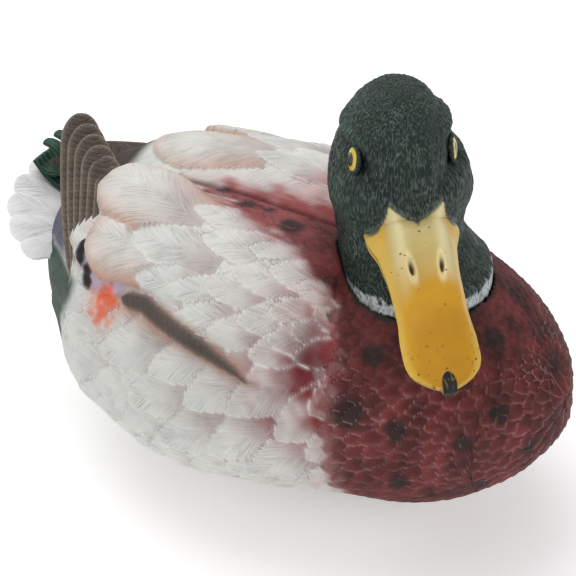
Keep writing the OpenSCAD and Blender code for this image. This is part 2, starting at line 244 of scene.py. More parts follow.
def feather_finish(name, spacing, depth, groove, rough=0.62, depth_of_groove=0.75, rimmed=False):
    """Painted feathers: fine barbs sweep from the shaft to the edge, with painted shade darkening their
    grooves.
    """
    f = Finish(name)
    along, across = f.field("along"), f.field("across")
    seed = f.field("seed")
    side = f.math("ABSOLUTE", across)
    calm = f.field("calm")
    sweep = f.math("ADD", along, f.math("MULTIPLY", f.math("POWER", side, 0.9), 2.5))
    vector = f.add("CombineXYZ", {0: f.math("DIVIDE", sweep, spacing),
        1: f.math("MULTIPLY", across, 0.16), 2: f.math("MULTIPLY", seed, 37.0)})
    barbs = f.noise(1.0, vector.outputs[0], 1.5)
    worn = f.remap(f.noise(85.0), 0.38, 0.62, 0.35, 1.25)
    barbs = f.math("MULTIPLY", f.math("SUBTRACT", barbs, 0.5), f.math("MULTIPLY", calm, worn))
    grain = f.noise(900.0)
    blotch = f.noise(60.0)
    specks = f.add("TexVoronoi",
        {"Scale": 170.0, "Vector": f.add("TexCoord").outputs["Object"]}).outputs["Distance"]
    tint = f.field("tint", "Color")
    # painted shade: the colour darkens towards the groove colour where the barbs are low
    dark = f.remap(barbs, 0.05, -0.22, 0.0, depth_of_groove)
    shade = f.blend(tint, f.blend(tint, groove, 1.0, "MULTIPLY"), dark)
    shade = f.blend(shade, f.ramp(blotch, [(0.3, 0.9), (0.7, (1.08, 1.06, 1.04))]), 0.8, "MULTIPLY")
    shade = f.blend(shade, (0.03, 0.03, 0.03), f.ramp(specks, [(0.0, 0.7), (0.045, 0)]))
    height = f.math("ADD", barbs, f.math("MULTIPLY", grain, 0.3))
    if rimmed:
        rim = f.ramp(f.field("edge"), [(0.0, 0.3), (0.4, 1), (0.85, 0)])
        scaly = f.field("scaly")
        patchy = f.remap(blotch, 0.36, 0.62, 0.12, 0.55)
        on_red = f.math("MULTIPLY", rim, f.math("MULTIPLY", scaly, patchy))
        on_white = f.math("MULTIPLY", f.math("MULTIPLY", rim, f.math("SUBTRACT", 1.0, scaly)), 0.4)
        shade = f.blend(f.blend(shade, (0.42, 0.20, 0.19), on_red), (0.80, 0.79, 0.78), on_white)
    return f.finish(shade, height, depth, rough)


def hair_finish(name):
    """Dark painted down: short strokes with paler dry-brushed tops."""
    f = Finish(name)
    place = f.field("flow", "Vector")
    strokes = f.noise(1.0, place, 3.0)
    grain = f.noise(700.0)
    tint = f.field("tint", "Color")
    bare = f.field("bare")
    patches = f.ramp(f.noise(70.0), [(0.42, 0.25), (0.66, 1)])
    pale = f.blend(f.blend(tint, (0.2, 0.23, 0.2), 0.16), f.blend(tint, (0.30, 0.34, 0.31), 0.32), patches)
    shade = f.blend(tint, pale, f.ramp(strokes, [(0.5, 0), (0.62, 1)]))
    shade = f.blend(shade, (0.006, 0.012, 0.01), f.ramp(strokes, [(0.33, 0.8), (0.47, 0)]))
    shade = f.blend(shade, tint, bare)
    height = f.math("ADD", strokes, f.math("MULTIPLY", grain, 0.25))
    height = f.math("MULTIPLY", height, f.math("SUBTRACT", 1.0, f.math("MULTIPLY", bare, 0.97)))
    rough = f.remap(bare, 0, 1, 0.5, 0.32)
    return f.finish(shade, height, 0.9, rough)


def plain_finish(name, main, second, rough, scale=120.0, depth=0.15, metallic=0.0, coat=0.0, grain=(1, 1, 1)):
    """Moulded or metal parts: two close colours, a fine grain and small wear marks."""
    f = Finish(name)
    colour, second = tuple(rgb(*main)), tuple(rgb(*second))
    place = f.add("Mapping", {"Vector": f.add("TexCoord").outputs["Object"], "Scale": grain}).outputs[0]
    cloud = f.noise(scale, place, 5.0)
    fine = f.noise(scale * 9, place, 2.0)
    shade = f.blend(colour, second, f.ramp(cloud, [(0.35, 0), (0.7, 1)]))
    shade = f.blend(shade, tuple(c * 0.35 for c in colour), f.ramp(fine, [(0.24, 0.8), (0.34, 0)]))
    wear = f.remap(cloud, 0, 1, rough - 0.08, rough + 0.1)
    return f.finish(shade, f.math("ADD", cloud, f.math("MULTIPLY", fine, 0.5)), depth, wear, metallic, coat)


# ---------------------------------------------------------------- colours
WHITE = rgb(216, 218, 214)
PINK = rgb(190, 146, 146)
CHESTNUT = rgb(118, 50, 49)
RED_BAND = rgb(164, 84, 86)
MAROON = rgb(74, 34, 32)
SCALE_EDGE = rgb(176, 108, 110)
SPOT = rgb(36, 35, 35)
TAN_SHADE = rgb(196, 148, 124)
ORANGE = rgb(230, 98, 44)
LAVENDER = rgb(98, 98, 112)
BLACK = rgb(30, 30, 32)
GREEN = rgb(36, 51, 45)
UNDERTAIL = rgb(58, 78, 66)

# ---------------------------------------------------------------- the body's shape
shell_lo, shell_hi = box_mm("body_shell")
pan_lo = box_mm("base_pan")[0]
socket_lo, socket_hi = box_mm("neck_socket")
breast_y, rump_y = shell_lo[1], shell_hi[1]
body_length = rump_y - breast_y
half_width = (shell_hi[0] - shell_lo[0]) / 2
neck_y = (socket_lo[1] + socket_hi[1]) / 2
well_r = (socket_hi[0] - socket_lo[0]) / 2 - 4
well_z = socket_hi[2] - 6
split_z = shell_lo[2]
beam_height = 51
back_height = 69
beam_z = pan_lo[2] + beam_height
collar_z = well_z + 14
# Station, half-width, crest, floor, rise of the widest line, depth of the valley in millimetres
BODY = [
    [0.00, 0.52, 0.40, 0.80, 0.00, 0], [0.16, 0.67, 0.50, 0.91, 0.00, 0],
    [0.30, 0.80, 0.78, 0.92, 0.00, 2], [0.42, 0.93, 0.97, 0.96, 0.00, 6],
    [0.56, 1.00, 1.00, 1.00, 0.00, 7], [0.78, 0.83, 0.93, 0.80, 0.02, 7],
    [0.93, 0.44, 0.68, 0.45, 0.08, 2], [1.00, 0.36, 0.40, 0.32, 0.12, 0],
]


def body_point(s, a):
    s, a = np.broadcast_arrays(np.asarray(s, float), np.asarray(a, float))
    e = blunt(s / 0.22) * blunt((1 - s) / 0.10)
    ca, sa = np.cos(a), np.sin(a)
    x = half_width * curve_through(BODY, s, 1) * e * signed_power(ca, 0.86)
    up = back_height * curve_through(BODY, s, 2) * e
    down = beam_height * curve_through(BODY, s, 3) * e
    y = breast_y + s * body_length
    rise = np.where(sa >= 0, up * np.abs(sa) ** 0.9, -down * np.abs(sa) ** 0.72)
    valley = np.where(sa > 0, curve_through(BODY, s, 5) * sa * e * bell(x, 15), 0)
    z = beam_z + curve_through(BODY, s, 4) * back_height + rise - valley
    out = np.maximum(0, np.hypot(x, y - neck_y) - well_r)
    top = collar_z - 0.7 * out - (out / 16) ** 2
    collar = np.maximum(z, top) + 3 * np.log(1 + np.exp(-np.abs(z - top) / 3))
    return np.stack([x, y, np.where(sa > 0, z + sa * (collar - z), z)], -1)


def on_body(y, turn):
    """The body's surface at a place along it and a turn from the back's middle line, positive to the right."""
    s, a = (np.asarray(y, float) - breast_y) / body_length, np.radians(90 + np.asarray(turn, float))
    p = body_point(s, a)
    n = unit(np.cross(body_point(s + 0.003, a) - body_point(s - 0.003, a), body_point(s, a + 0.01)
        - body_point(s, a - 0.01)))
    return p, n


# A grid of points, evenly spread over the skin above the hull's parting line.
ROWS, COLUMNS = 318, 313
fine = (1 - np.cos(np.linspace(0, np.pi, 3001))) / 2
profile = [body_point(fine, np.full(fine.shape, a)) for a in (np.pi / 2, 0.0, 2.6)]
steps = np.sum([np.linalg.norm(np.diff(p, axis=0), axis=1) for p in profile], axis=0)
travelled = np.concatenate([[0], np.cumsum(steps)])
stations = np.interp(np.linspace(0, travelled[-1], ROWS + 2)[1:-1], travelled, fine)
ends = blunt(stations / 0.22) * blunt((1 - stations) / 0.10)
below = beam_height * curve_through(BODY, stations, 3) * ends
drop = beam_z + curve_through(BODY, stations, 4) * back_height - split_z
lowest = np.arcsin(clamp(drop / np.maximum(below, 1e-6)) ** (1 / 0.72))
spread = np.linspace(-1, 1, 901)[None, :] * (np.pi / 2 + lowest)[:, None] + np.pi / 2
ring = body_point(stations[:, None], spread)
length = np.concatenate([np.zeros((ROWS, 1)), np.cumsum(np.linalg.norm(np.diff(ring, axis=1), axis=2),
    axis=1)], axis=1)
angles = np.stack([np.interp(np.linspace(0, l[-1], COLUMNS), l, a) for l, a in zip(length, spread)])
skin = body_point(stations[:, None], angles)
normal = unit(np.cross(np.gradient(skin, axis=0), np.gradient(skin, axis=1)))
turn = np.degrees(angles) - 90
Y, X, Z = skin[..., 1], skin[..., 0], skin[..., 2]
side_turn = np.abs(turn)

# ---------------------------------------------------------------- stamping feathers on the skin
COVERT, FLANK, LOBE, SPECULUM, VENT, BARRED, SCAPULAR, BREAST = range(1, 9)
height = np.zeros(skin.shape[:2])
along = Y.copy()
across = X.copy() * 0.5
seed = np.zeros_like(height)
edge = np.full_like(height, 9.0)
back = np.ones_like(height)
kind = np.zeros_like(height)
fray = lumps(skin, 3.2, 77)


def stamp(tip, facing, way, long, wide, rise, code, base_height=0.0, round_edge=0.0, blunt_share=0.55):
    """Lays one feather on the skin: raised at its tip and thinning to its root, over what is already there."""
    forward = unit(way - (way @ facing) * facing)
    side = np.cross(facing, forward)
    d = skin - tip
    u = -(d @ forward)
    v = d @ side
    q = u / long
    near = (q > 0) & (q < 1) & (np.abs(v) < wide) & (np.abs(d @ facing) < 0.7 * long
        + 6) & (normal @ facing > 0.1)
    if not near.any():
        return
    qn, un, vn = q[near], u[near], v[near]
    point = 0.0 if round_edge else 0.45
    half = wide / 2 * ((1 - point) * blunt(qn / blunt_share) + point * clamp(qn / blunt_share))
    half = half * (1 - 0.3 * clamp(qn - 0.5)) * (1 + (0.04 if round_edge else 0.1) * (fray[near] - 0.5))
    inside = np.abs(vn) < half
    index = np.argwhere(near)[inside]
    i, j = index[:, 0], index[:, 1]
    qn, un, vn, half = qn[inside], un[inside], vn[inside], half[inside]
    rim = np.minimum(half - np.abs(vn), un)
    lift = base_height * (1 - ramp(qn, 0.35, 0.95)) + rise * (1 - qn) ** 1.1 * (1 - 0.2 * (vn / half) ** 2)
    if round_edge:
        lift = lift * blunt(rim / round_edge)
    height[i, j] = lift + 0.25 * rise * bell(vn, 0.8) * (1 - qn)
    along[i, j], across[i, j], edge[i, j], back[i, j] = un, vn, rim, qn
    seed[i, j] = rng.random()
    kind[i, j] = code


def stamp_row(rows, code, mirror=True):
    """Rows hold tip place, tip turn, length, width, heading (0 to the rear, 90 down the side) and rise."""
    for y, t, long, wide, heading, rise, *rest in sorted(rows, key=lambda r: -r[0]):
        for sign in (1, -1) if mirror else (1,):
            p, n = on_body(y, sign * t)
            ahead = on_body(y + 2, sign * t)[0] - p
            down = on_body(y, sign * (t + 2))[0] - p
            way = unit(ahead) * np.cos(np.radians(heading)) + unit(down) * np.sin(np.radians(heading))
            stamp(p, n, way, long * rng.uniform(0.95, 1.08), wide, rise, code, *rest)


# Soft background feathers everywhere behind the breast, in staggered rows from the rear forward
flank = []
for k, y in enumerate(np.arange(104, -66, -18.0)):
    for t in np.arange(62 + (k % 2) * 9, 150, 18.0):
        flank.append([y + rng.uniform(-3, 3), t + rng.uniform(-2, 2), 40, 28, 28 + rng.uniform(-8, 8), 1.2])
stamp_row(flank, FLANK)
stamp_row(
    [[104, 70, 50, 14, 15, 1.2], [104, 82, 46, 14, 12, 1.2], [100, 95, 44, 14, 10, 1.2],
        [98, 108, 44, 14, 5, 1.2], [100, 60, 40, 12, 20, 1.2]],
    VENT,
)
stamp_row(
    [
        [46, 77, 44, 26, 30, 1.8], [26, 88, 42, 26, 32, 1.8], [9, 97, 40, 26, 32, 1.8],
        [15, 73, 44, 24, 34, 2.0], [-4, 80, 42, 26, 36, 2.2], [-16, 95, 38, 26, 34, 1.8],
        [-24, 79, 38, 24, 38, 2.2], [-33, 103, 34, 24, 32, 1.6], [-45, 86, 32, 24, 40, 2.2],
        [-57, 73, 30, 22, 42, 2.0], [-57, 92, 30, 22, 34, 1.8],
    ],
    FLANK,
)
# The speculum's barred feathers
stamp_row([[77, 49, 32, 20, 24, 1.6], [70, 56, 30, 17, 24, 1.8]], SPECULUM)
# The wing's white coverts
wing = [
    [49, 32, 46, 26, 10, 1.6], [35, 44, 34, 20, 12, 1.5], [17, 23, 40, 22, 8, 1.4],
    [19, 43, 34, 19, 14, 1.5], [30, 14, 46, 20, 2, 1.2], [10, 51, 30, 17, 16, 1.5],
    [-6, 21, 34, 20, 6, 1.4], [3, 38, 34, 20, 14, 1.5], [-6, 54, 26, 17, 20, 1.5],
    [-6, 31, 32, 20, 10, 1.5], [-19, 26, 30, 18, 6, 1.2], [-17, 46, 30, 19, 18, 1.5],
    [-29, 40, 28, 19, 14, 1.5], [-28, 57, 24, 17, 26, 1.6], [-34, 29, 24, 16, 8, 1.2],
    [-33, 50, 24, 17, 20, 1.5], [-40, 44, 22, 16, 16, 1.4], [-45, 53, 20, 15, 26, 1.5],
    [-45, 35, 18, 14, 8, 1.1],
]
# Two big rounded feathers at the rear of each wing stand proud of the rump
stamp_row([[69, 39, 56, 36, 16, 2.5, 5.0, 7.5, 0.36], [72, -39.5, 56, 37, -16, 2.5, 1.5, 6.0, 0.36]],
    LOBE, False)
stamp_row([[79.5, 15, 60, 39, 4, 2.5, 5.5, 7.5, 0.36], [82, -15, 60, 37, -4, 2.0, 0.0, 4.0, 0.36]], LOBE,
    False)
stamp_row(wing, COVERT)
# Narrow scapulars beside the back's middle line
band_y = [-62, -56, -43, -29, -10, 11, 38, 52, 62]
band_turn = [38, 32, 26, 19, 15, 9, 5, 3, 0]


def chest_line(t):
    """How far back the chestnut reaches at a turn from the back's middle line."""
    return np.interp(t, [0, 24, 44, 66, 83, 100, 130, 180], [-40, -50, -59, -62, -65, -67, -73, -82])


band = np.interp(Y, band_y, band_turn) * np.where(turn > 0, 1, np.interp(Y, [-60, -45, -20, 60],
    [1, 0.7, 0.3, 0.15]))
scales = []
for y in np.arange(50, -52, -7.0):
    width = np.interp(y, band_y, band_turn)
    for t in np.arange(2.5, width, 5.0):
        scales.append([y + rng.uniform(-2, 2), t, 13, 8.5, rng.uniform(-6, 10), 0.8])
stamp_row(scales, SCAPULAR, False)

# Breast scales, denser and smaller round the neck; each lies over the one behind it
picked = []
candidates = np.argwhere((Y < chest_line(side_turn) + 4) & (Z > split_z + 2))
order = rng.permutation(len(candidates))[:14000]
radius = np.hypot(X, Y - neck_y)
taken = np.zeros((len(order), 3))
for i, j in candidates[order]:
    p = skin[i, j]
    gap = np.interp(radius[i, j], [36, 60, 85], [3.4, 4.2, 5.6]) * (1.2 if turn[i, j] > 30 else 1.0)
    if np.sum((taken[: len(picked)] - p) ** 2, axis=1).min(initial=1e9) > gap * gap:
        taken[len(picked)] = p
        picked.append((p, normal[i, j], gap))
flow = [np.array([0, 1.0, -0.5]) + 0.25 * unit(p - np.array([0, neck_y, p[2]])) for p, n, gap in picked]
for k in sorted(range(len(picked)), key=lambda k: -(picked[k][0][1] - 0.5 * picked[k][0][2])):
    p, n, gap = picked[k]
    stamp(p, n, flow[k], gap * 1.9, gap * 1.5, 0.95, BREAST, 0.1)

# ---------------------------------------------------------------- carving under the feathers
brush = lumps(skin * [1, 0.25, 0.25], 1.6, 61) - 0.5 + 0.8 * (lumps(skin, 6, 62) - 0.5)
chest_y = chest_line(side_turn)
behind = Y - chest_y
front = ramp(-Y + 7 * brush, -chest_y - 7, -chest_y + 6)
front = np.where(kind == BREAST, np.maximum(front, 0.8), front * (0.45 + 0.55 * ramp(-behind, 0, 5)))
wing_low = np.interp(Y, [-60, -29, -26, -5, 17, 54, 75, 95], [62, 66, 64, 58.5, 57, 54, 50, 46])
carve = np.zeros_like(height)
# the back's middle crease, and the step from the wing down to the flank
carve -= 2.2 * bell(X, 1.3) * ramp(Y, -48, -30) * (1 - ramp(Y, 70, 95))
on_wing = (1 - ramp(side_turn, wing_low - 1.0, wing_low + 2.0)) * (1 - front) * (1 - ramp(Y, 84, 96))
carve += 2.2 * on_wing
# hollow in front of the wing, below the raised rim of the breast
hollow = np.exp(-(((Y + 50 + 0.18 * (side_turn - 45)) / 7.5) ** 2) - (((side_turn - 52) / 14) ** 2))
carve -= 4.5 * hollow
rim_line = bell(behind + 1, 2.6) * ramp(side_turn, 22, 30) * (1 - ramp(side_turn, 95, 115))
carve += 1.6 * rim_line
carve += 1.0 * (lumps(skin, 16, 3) - 0.5)
# the narrow barred feather along the wing's lower edge
bar_turn = np.interp(Y, [-31, -24, -9, 9, 25, 38], [66, 63.3, 58.6, 54.6, 51.2, 53])
bar_half = 4.7 * blunt((38 - Y) / 9) * blunt((Y + 31) / 40) ** 1.2
bar_off = (side_turn - bar_turn) * 1.45
bar = (np.abs(bar_off) < bar_half) & (Y < 38) & (Y > -31)
along = np.where(bar, 1.6 * (Y + 0.45 * np.abs(bar_off)), along)
across = np.where(bar, 0.2 * bar_off, across)
bar_rise = np.where(bar, np.sqrt(clamp(1 - (bar_off / np.maximum(bar_half, 0.01)) ** 2)), 0)
height = np.where(bar, 1.2 + 1.6 * bar_rise, height)
seed = np.where(bar, 0.37, seed)
kind = np.where(bar, BARRED, kind)
# smoothed steps, and a calm strip along them where the barbs fade out
seam = np.zeros_like(seed)
seam[:-1] += seed[:-1] != seed[1:]
seam[1:] += seed[:-1] != seed[1:]
seam[:, :-1] += seed[:, :-1] != seed[:, 1:]
seam[:, 1:] += seed[:, :-1] != seed[:, 1:]
calm = 1 - 0.6 * np.minimum(seam, 1)
height = soften(height, 1)
fade = ramp(Z, split_z + 0.5, split_z + 9)
raised = (height + carve) * fade
ragged = lumps(skin, 3.5, 21) - 0.5

# ---------------------------------------------------------------- painting
noise = lumps(skin, 9, 5) - 0.5
fuzz = lumps(skin, 2.2, 6) - 0.5
chestnut = np.maximum(1 - ramp(side_turn + 4 * noise + 4 * brush, band - 3.0, band + 3.0), front)
chestnut = np.where(Y > 58, 0, chestnut)
near_band = np.exp(-np.clip(side_turn - band, 0, 90) / 6) * (1 - ramp(Y, 45, 60))
near_front = np.exp(-np.clip(behind, 0, 90) / 16)
blush = clamp(0.75 * near_band + 0.85 * near_front * ramp(side_turn, 18, 30) + 0.9 * noise * near_front)
flush = np.exp(-np.clip(behind, 0, 90) / 22) * ramp(side_turn, 26, 38) * (1 - ramp(side_turn, 78, 96))
feathery = np.isin(kind, (COVERT, FLANK, LOBE))
root_shade = np.where(feathery, ramp(back, 0.35, 0.95), 0)
tint = mix(WHITE, PINK, clamp(blush * (0.45 + 0.75 * root_shade) + 0.12 * root_shade))
tint = mix(tint, rgb(150, 132, 130), 0.42 * root_shade * (1 - ramp(Y, 10, 70)))
tint = mix(tint, rgb(140, 56, 62), clamp(flush * (0.5 + 1.0 * root_shade + 0.9 * brush)))
# painted shade: tan along the edges of the two rear feathers, stronger lower down, and along the step from the
# wing down to the flank
lobe = kind == LOBE
tint = mix(tint, TAN_SHADE, np.where(lobe, 1.0 * np.exp(-edge / 6.0) * (0.6 + 0.4 * ramp(side_turn, 15, 45)), 0))
tint = mix(tint, TAN_SHADE, 0.55 * bell(side_turn - wing_low, 4) * ramp(Y, -38, -20) * (1 - ramp(Y, 70, 90))
    * (kind != BARRED))
# the hollow in front of the wing is painted deep red: partly the red of the paint, partly painted shade of the
# hollow
deep = rgb(104, 34, 42)
tint = mix(tint, deep, clamp(0.95 * hollow + 0.2 * noise * hollow) * (1 - front))
body_red = mix(CHESTNUT, MAROON, clamp(0.5 + 1.4 * noise))
body_red = mix(body_red, RED_BAND, 0.75 * ramp(Y, -45, -5))
body_red = mix(body_red, rgb(150, 78, 78), 0.6 * np.exp(-np.abs(behind) / 7) * (side_turn > 24)
    * (0.6 + noise))
tint = mix(tint, body_red, chestnut)
scaled = (kind == BREAST) | (kind == SCAPULAR)
pale = np.where(scaled, np.exp(-((edge - 0.5) / 0.6) ** 2), 0) * clamp(0.35 + 1.3
    * (lumps(skin, 22, 8) - 0.3))
tint = mix(tint, SCALE_EDGE, (0.16 + 0.4 * ramp(turn, 25, 55) + 0.45 * (kind == SCAPULAR)) * pale * chestnut)
far_flush = np.exp(-side_turn / 13) * (turn < 0) * ramp(-Y, -12, 20) * (1 - chestnut)
tint = mix(tint, rgb(186, 96, 96), clamp(far_flush * (0.75 + 1.2 * noise + 0.5 * root_shade)))
# painted shade: the covered root of each breast and scapular scale is darkened where the scale in front
# overlaps it
tint = mix(tint, rgb(48, 18, 22), np.where(scaled, ramp(back, 0.3, 0.9), 0) * 0.4 * chestnut)
tint = mix(tint, SCALE_EDGE, 0.12 * rim_line * (1 - 0.5 * (noise + 0.5)))
white_rim = np.where(np.isin(kind, (COVERT, FLANK)), np.exp(-((edge - 0.3) / 0.45) ** 2) * (0.3 + fray), 0)
tint = mix(tint, rgb(236, 230, 228), clamp(0.5 + 0.8 * flush) * white_rim * (1 - 0.8 * chestnut))
# speculum, orange flash, barred feather
bars = np.where(back < 0.13, 1, 0)
tint = np.where((kind == SPECULUM)[..., None], mix(rgb(176, 176, 196), WHITE, bars), tint)
tint = np.where(((kind == SPECULUM) & (back > 0.15) & (back + 0.1 * fuzz < 0.34))[..., None], BLACK, tint)
orange = np.exp(-(((Y - 48) / 7) ** 2) - (((side_turn - 56.5) / 6.5) ** 2))
orange = orange + 0.45 * np.exp(-(((Y - 51) / 7) ** 2) - (((side_turn - 64) / 5) ** 2))
tint = mix(tint, ORANGE, np.clip(1.1 * orange + 1.2 * fuzz * (orange > 0.2), 0, 0.9) * (kind != BARRED)
    * (kind != LOBE))
barred = 0.5 + 0.5 * np.sin((Y + 0.5 * bar_off) * 2.1)
bar_edge = clamp(np.abs(bar_off) / np.maximum(bar_half, 0.01))
bar_paint = mix(mix(rgb(112, 100, 92), rgb(58, 53, 51), 0.3 + 0.5 * barred), rgb(150, 122, 104),
    0.8 * bar_edge**6)
tint = np.where((kind == BARRED)[..., None], bar_paint, tint)
around_bar = bell(np.clip(np.abs(bar_off) - bar_half, 0, 99), 2.2) * (Y < 42) * (Y > -36) * (kind != BARRED)
tint = mix(tint, rgb(150, 104, 92), 0.6 * around_bar)
# dark green under the tail, lavender where the fan meets the body, and painted shade in dark brown on the
# middle of the rump's top between the rear feathers
under = ramp(Y - 0.35 * (side_turn - 60) + 6 * noise, 68, 74) * ramp(side_turn, 57, 62)
tint = mix(tint, UNDERTAIL, under)
tint = mix(tint, LAVENDER, ramp(Y + 6 * noise, 80, 92) * ramp(side_turn, 18, 26)
    * (1 - ramp(side_turn, 56, 62)) * (1 - lobe))
tint = mix(tint, rgb(70, 58, 54), ramp(Y, 80, 88) * (1 - ramp(side_turn, 18, 26)) * (1 - lobe))
# spots
SPOTS = [[32, 1, 4.5], [13, 5, 5.5], [2, 4, 3.5], [-15, 8, 7], [-17, 2, 3.5], [-75, 40, 6], [-73, 69, 8],
    [-94, 73, 5.5]]
SPOTS += [[-118, 80, 4.5], [-128, 56, 5.5], [-114, 13, 6], [-110, -16, 4], [-136, -7, 4], [-96, 98, 5],
    [-124, 119, 5], [-139, 93, 4.5]]
SPOTS += [[-76, -42, 6], [-75, -70, 7], [-96, -76, 5.5], [-118, -62, 5], [-128, -100, 5], [-98, -100, 5]]
for y, t, r in SPOTS:
    away = np.linalg.norm(skin - on_body(y, t)[0], axis=-1) + 3.0 * noise + 3.5 * fuzz
    tint = mix(tint, SPOT, 0.85 * (1 - ramp(away, 0.55 * r, 1.25 * r)))
# dark green hair of the neck laps over the collar
lap = 1 - ramp(radius + 4 * ragged, well_r + 0.8, well_r + 1.9)
tint = mix(tint, GREEN, lap * (Z > collar_z - 8))
tint = soften(tint, 1)
# painted shadow: dark lines along the steps where one scale lies over the next
tint = mix(tint, rgb(40, 16, 20), 0.5 * np.minimum(seam, 1) * np.where(scaled, 1, 0) * chestnut
    * (0.5 + noise))
# painted shade: the colour is darkened along the back's carved middle crease
tint = mix(tint, tint * 0.45, clamp(1.3 * bell(X, 1.6)) * ramp(Y, -48, -30) * (1 - ramp(Y, 70, 90)))

# ---------------------------------------------------------------- the skin piece
shown = skin + normal * raised[..., None]
shown[..., 2] = np.maximum(shown[..., 2], split_z)
reach = np.hypot(shown[..., 0], shown[..., 1] - neck_y)
in_well = (reach < well_r) & (shown[..., 2] > well_z)
ring_band = (reach >= well_r) & (reach < well_r + 0.9) & (shown[..., 2] > well_z)
snap = np.where(ring_band, well_r / np.maximum(reach, 1e-6), 1)
shown[..., 0] *= snap
shown[..., 1] = neck_y + (shown[..., 1] - neck_y) * snap
shown[..., 2] = np.where(in_well, well_z + 0.05, shown[..., 2])
# painted shade: the floor of the neck well gets a darker copy of the green
tint = np.where(in_well[..., None], GREEN * 0.5, tint)
# close the two ends and turn the lower edge in under the shell
n = ROWS * COLUMNS
first, last = body_point(0.0, np.pi / 2), body_point(1.0, np.pi / 2)
inner_left, inner_right = shown[:, 0] * [0.95, 1, 1], shown[:, -1] * [0.95, 1, 1]
points = np.concatenate([shown.reshape(-1, 3), inner_left, inner_right, [first, last]])
faces = grid_quads(ROWS, COLUMNS, False)[:, ::-1].tolist()
for k in range(ROWS - 1):
    faces.append([k * COLUMNS, (k + 1) * COLUMNS, n + k + 1, n + k])
    faces.append([(k + 1) * COLUMNS - 1, n + ROWS + k, n + ROWS + k + 1, (k + 2) * COLUMNS - 1])
for j in range(COLUMNS - 1):
    faces.append([len(points) - 2, j, j + 1])
    faces.append([len(points) - 1, n - COLUMNS + j + 1, n - COLUMNS + j])


def padded(values, extra=2 * ROWS + 2):
    flat = values.reshape(n, -1)
    tail = np.concatenate([flat.reshape(ROWS, COLUMNS, -1)[:, 0], flat.reshape(ROWS, COLUMNS, -1)[:, -1],
        flat[:1], flat[-1:]])
    return np.concatenate([flat, tail]).reshape((n + extra,) + values.shape[2:])


skin_paint = feather_finish("painted_feathers", 0.75, 0.6, (0.62, 0.60, 0.59), 0.66, 0.6, True)
add_mesh(
    "body_skin", points, faces, "hull", skin_paint, ["body_shell"], "body_paint",
    tint=padded(tint), along=padded(along), across=padded(across), seed=padded(seed),
    calm=padded(calm), scaly=padded(chestnut),
    edge=padded(np.where(np.isin(kind, (COVERT, FLANK, SCAPULAR, BREAST)), np.clip(edge, 0, 9) + 1.5
        * (1 - ramp(radius, 44, 60)), 9.0)),
)


# ---------------------------------------------------------------- loose feathers
def vane(path, up, wide, thick, colour, rib=0.0, spacing=1.1, shape=(0.2, 0.3), segments=200, around=28,
    cup=0.0):
    """Points, faces and fields of one feather with a rounded tip, a raised shaft and cross ribs."""
    t = np.linspace(0.004, 0.996, segments)
    whole = np.linspace(0, 1, len(path))
    mid = np.stack([np.interp(t, whole, path[:, k]) for k in range(3)], 1)
    long = np.linalg.norm(np.diff(path, axis=0), axis=1).sum()
    way, side, top = frames_along(mid, np.array(up, float))
    profile = blunt(t / shape[0]) * blunt((1 - t) / shape[1])
    a = np.linspace(0, 2 * np.pi, around, endpoint=False)
    u, v = np.cos(a)[None], np.sin(a)[None]
    half = wide / 2 * profile[:, None]
    thickness = thick / 2 * (0.35 + 0.65 * profile[:, None]) * np.sign(v) * np.abs(v) ** 0.75
    phase = t[:, None] * long - 0.5 * np.abs(u) * half
    phase = phase + 0.4 * np.sin(1.7 * phase + 2 * u) + 0.5 * np.sin(0.37 * phase - u)
    ribs = rib * np.sin(2 * np.pi * phase / spacing) * np.maximum(v, 0)
    shaft = 0.5 * bell(u * half, 0.8) * (v > 0)
    rimmed = 0.35 * bell((1 - np.abs(u)) * half, 0.7) * (v > 0)
    lift = thickness + ribs + shaft + rimmed - cup * (u * half) ** 2
    pts = mid[:, None] + (u * half)[..., None] * side[:, None] + lift[..., None] * top[:, None]
    rows = len(t)
    faces = grid_quads(rows, around, True)[:, ::-1].tolist()
    pts = np.concatenate([pts.reshape(-1, 3), [mid[0], mid[-1]]])
    faces += end_caps(rows, around)
    # painted highlight and shade: the ribs' crests are painted lighter and their grooves darker, in step with
    # the rib relief
    tone = clamp(0.5 + 0.5 * np.sin(2 * np.pi * phase / spacing)) * (rib > 0)
    shade = mix(colour[0], colour[1], 0.75 * tone)
    outer = np.exp(-(1 - np.abs(u)) * half / 0.9) + np.exp(-(1 - t[:, None]) * long / 1.0)
    shade = mix(shade, colour[2], clamp(0.7 * outer))
    shade = np.concatenate([shade.reshape(-1, 3), [colour[0], colour[2]]])
    along_f = np.concatenate([np.broadcast_to((1 - t[:, None]) * long, (rows, around)).ravel(), [0, 0]])
    across_f = np.concatenate([(u * half).ravel(), [0, 0]])
    seeds = np.full(len(pts), rng.random())
    return pts, faces, shade, along_f, across_f, seeds


def bezier_path(p, count=60):
    t = np.linspace(0, 1, count)[:, None]
    return (1 - t) ** 2 * p[0] + 2 * t * (1 - t) * p[1] + t * t * p[2]


def join(parts, name, body, finish, replaces, slot):
    offset, pts, faces, cols = 0, [], [], [[], [], [], []]
    for part in parts:
        pts.append(part[0])
        faces += [[i + offset for i in f] for f in part[1]]
        offset += len(part[0])
        for k in range(4):
            cols[k].append(part[2 + k])
    joined = [np.concatenate(c) for c in cols]
    return add_mesh(
        name, np.concatenate(pts), faces, body, finish, replaces, slot,
        tint=joined[0], along=joined[1], across=joined[2], seed=joined[3], calm=np.ones(len(joined[3])),
    )


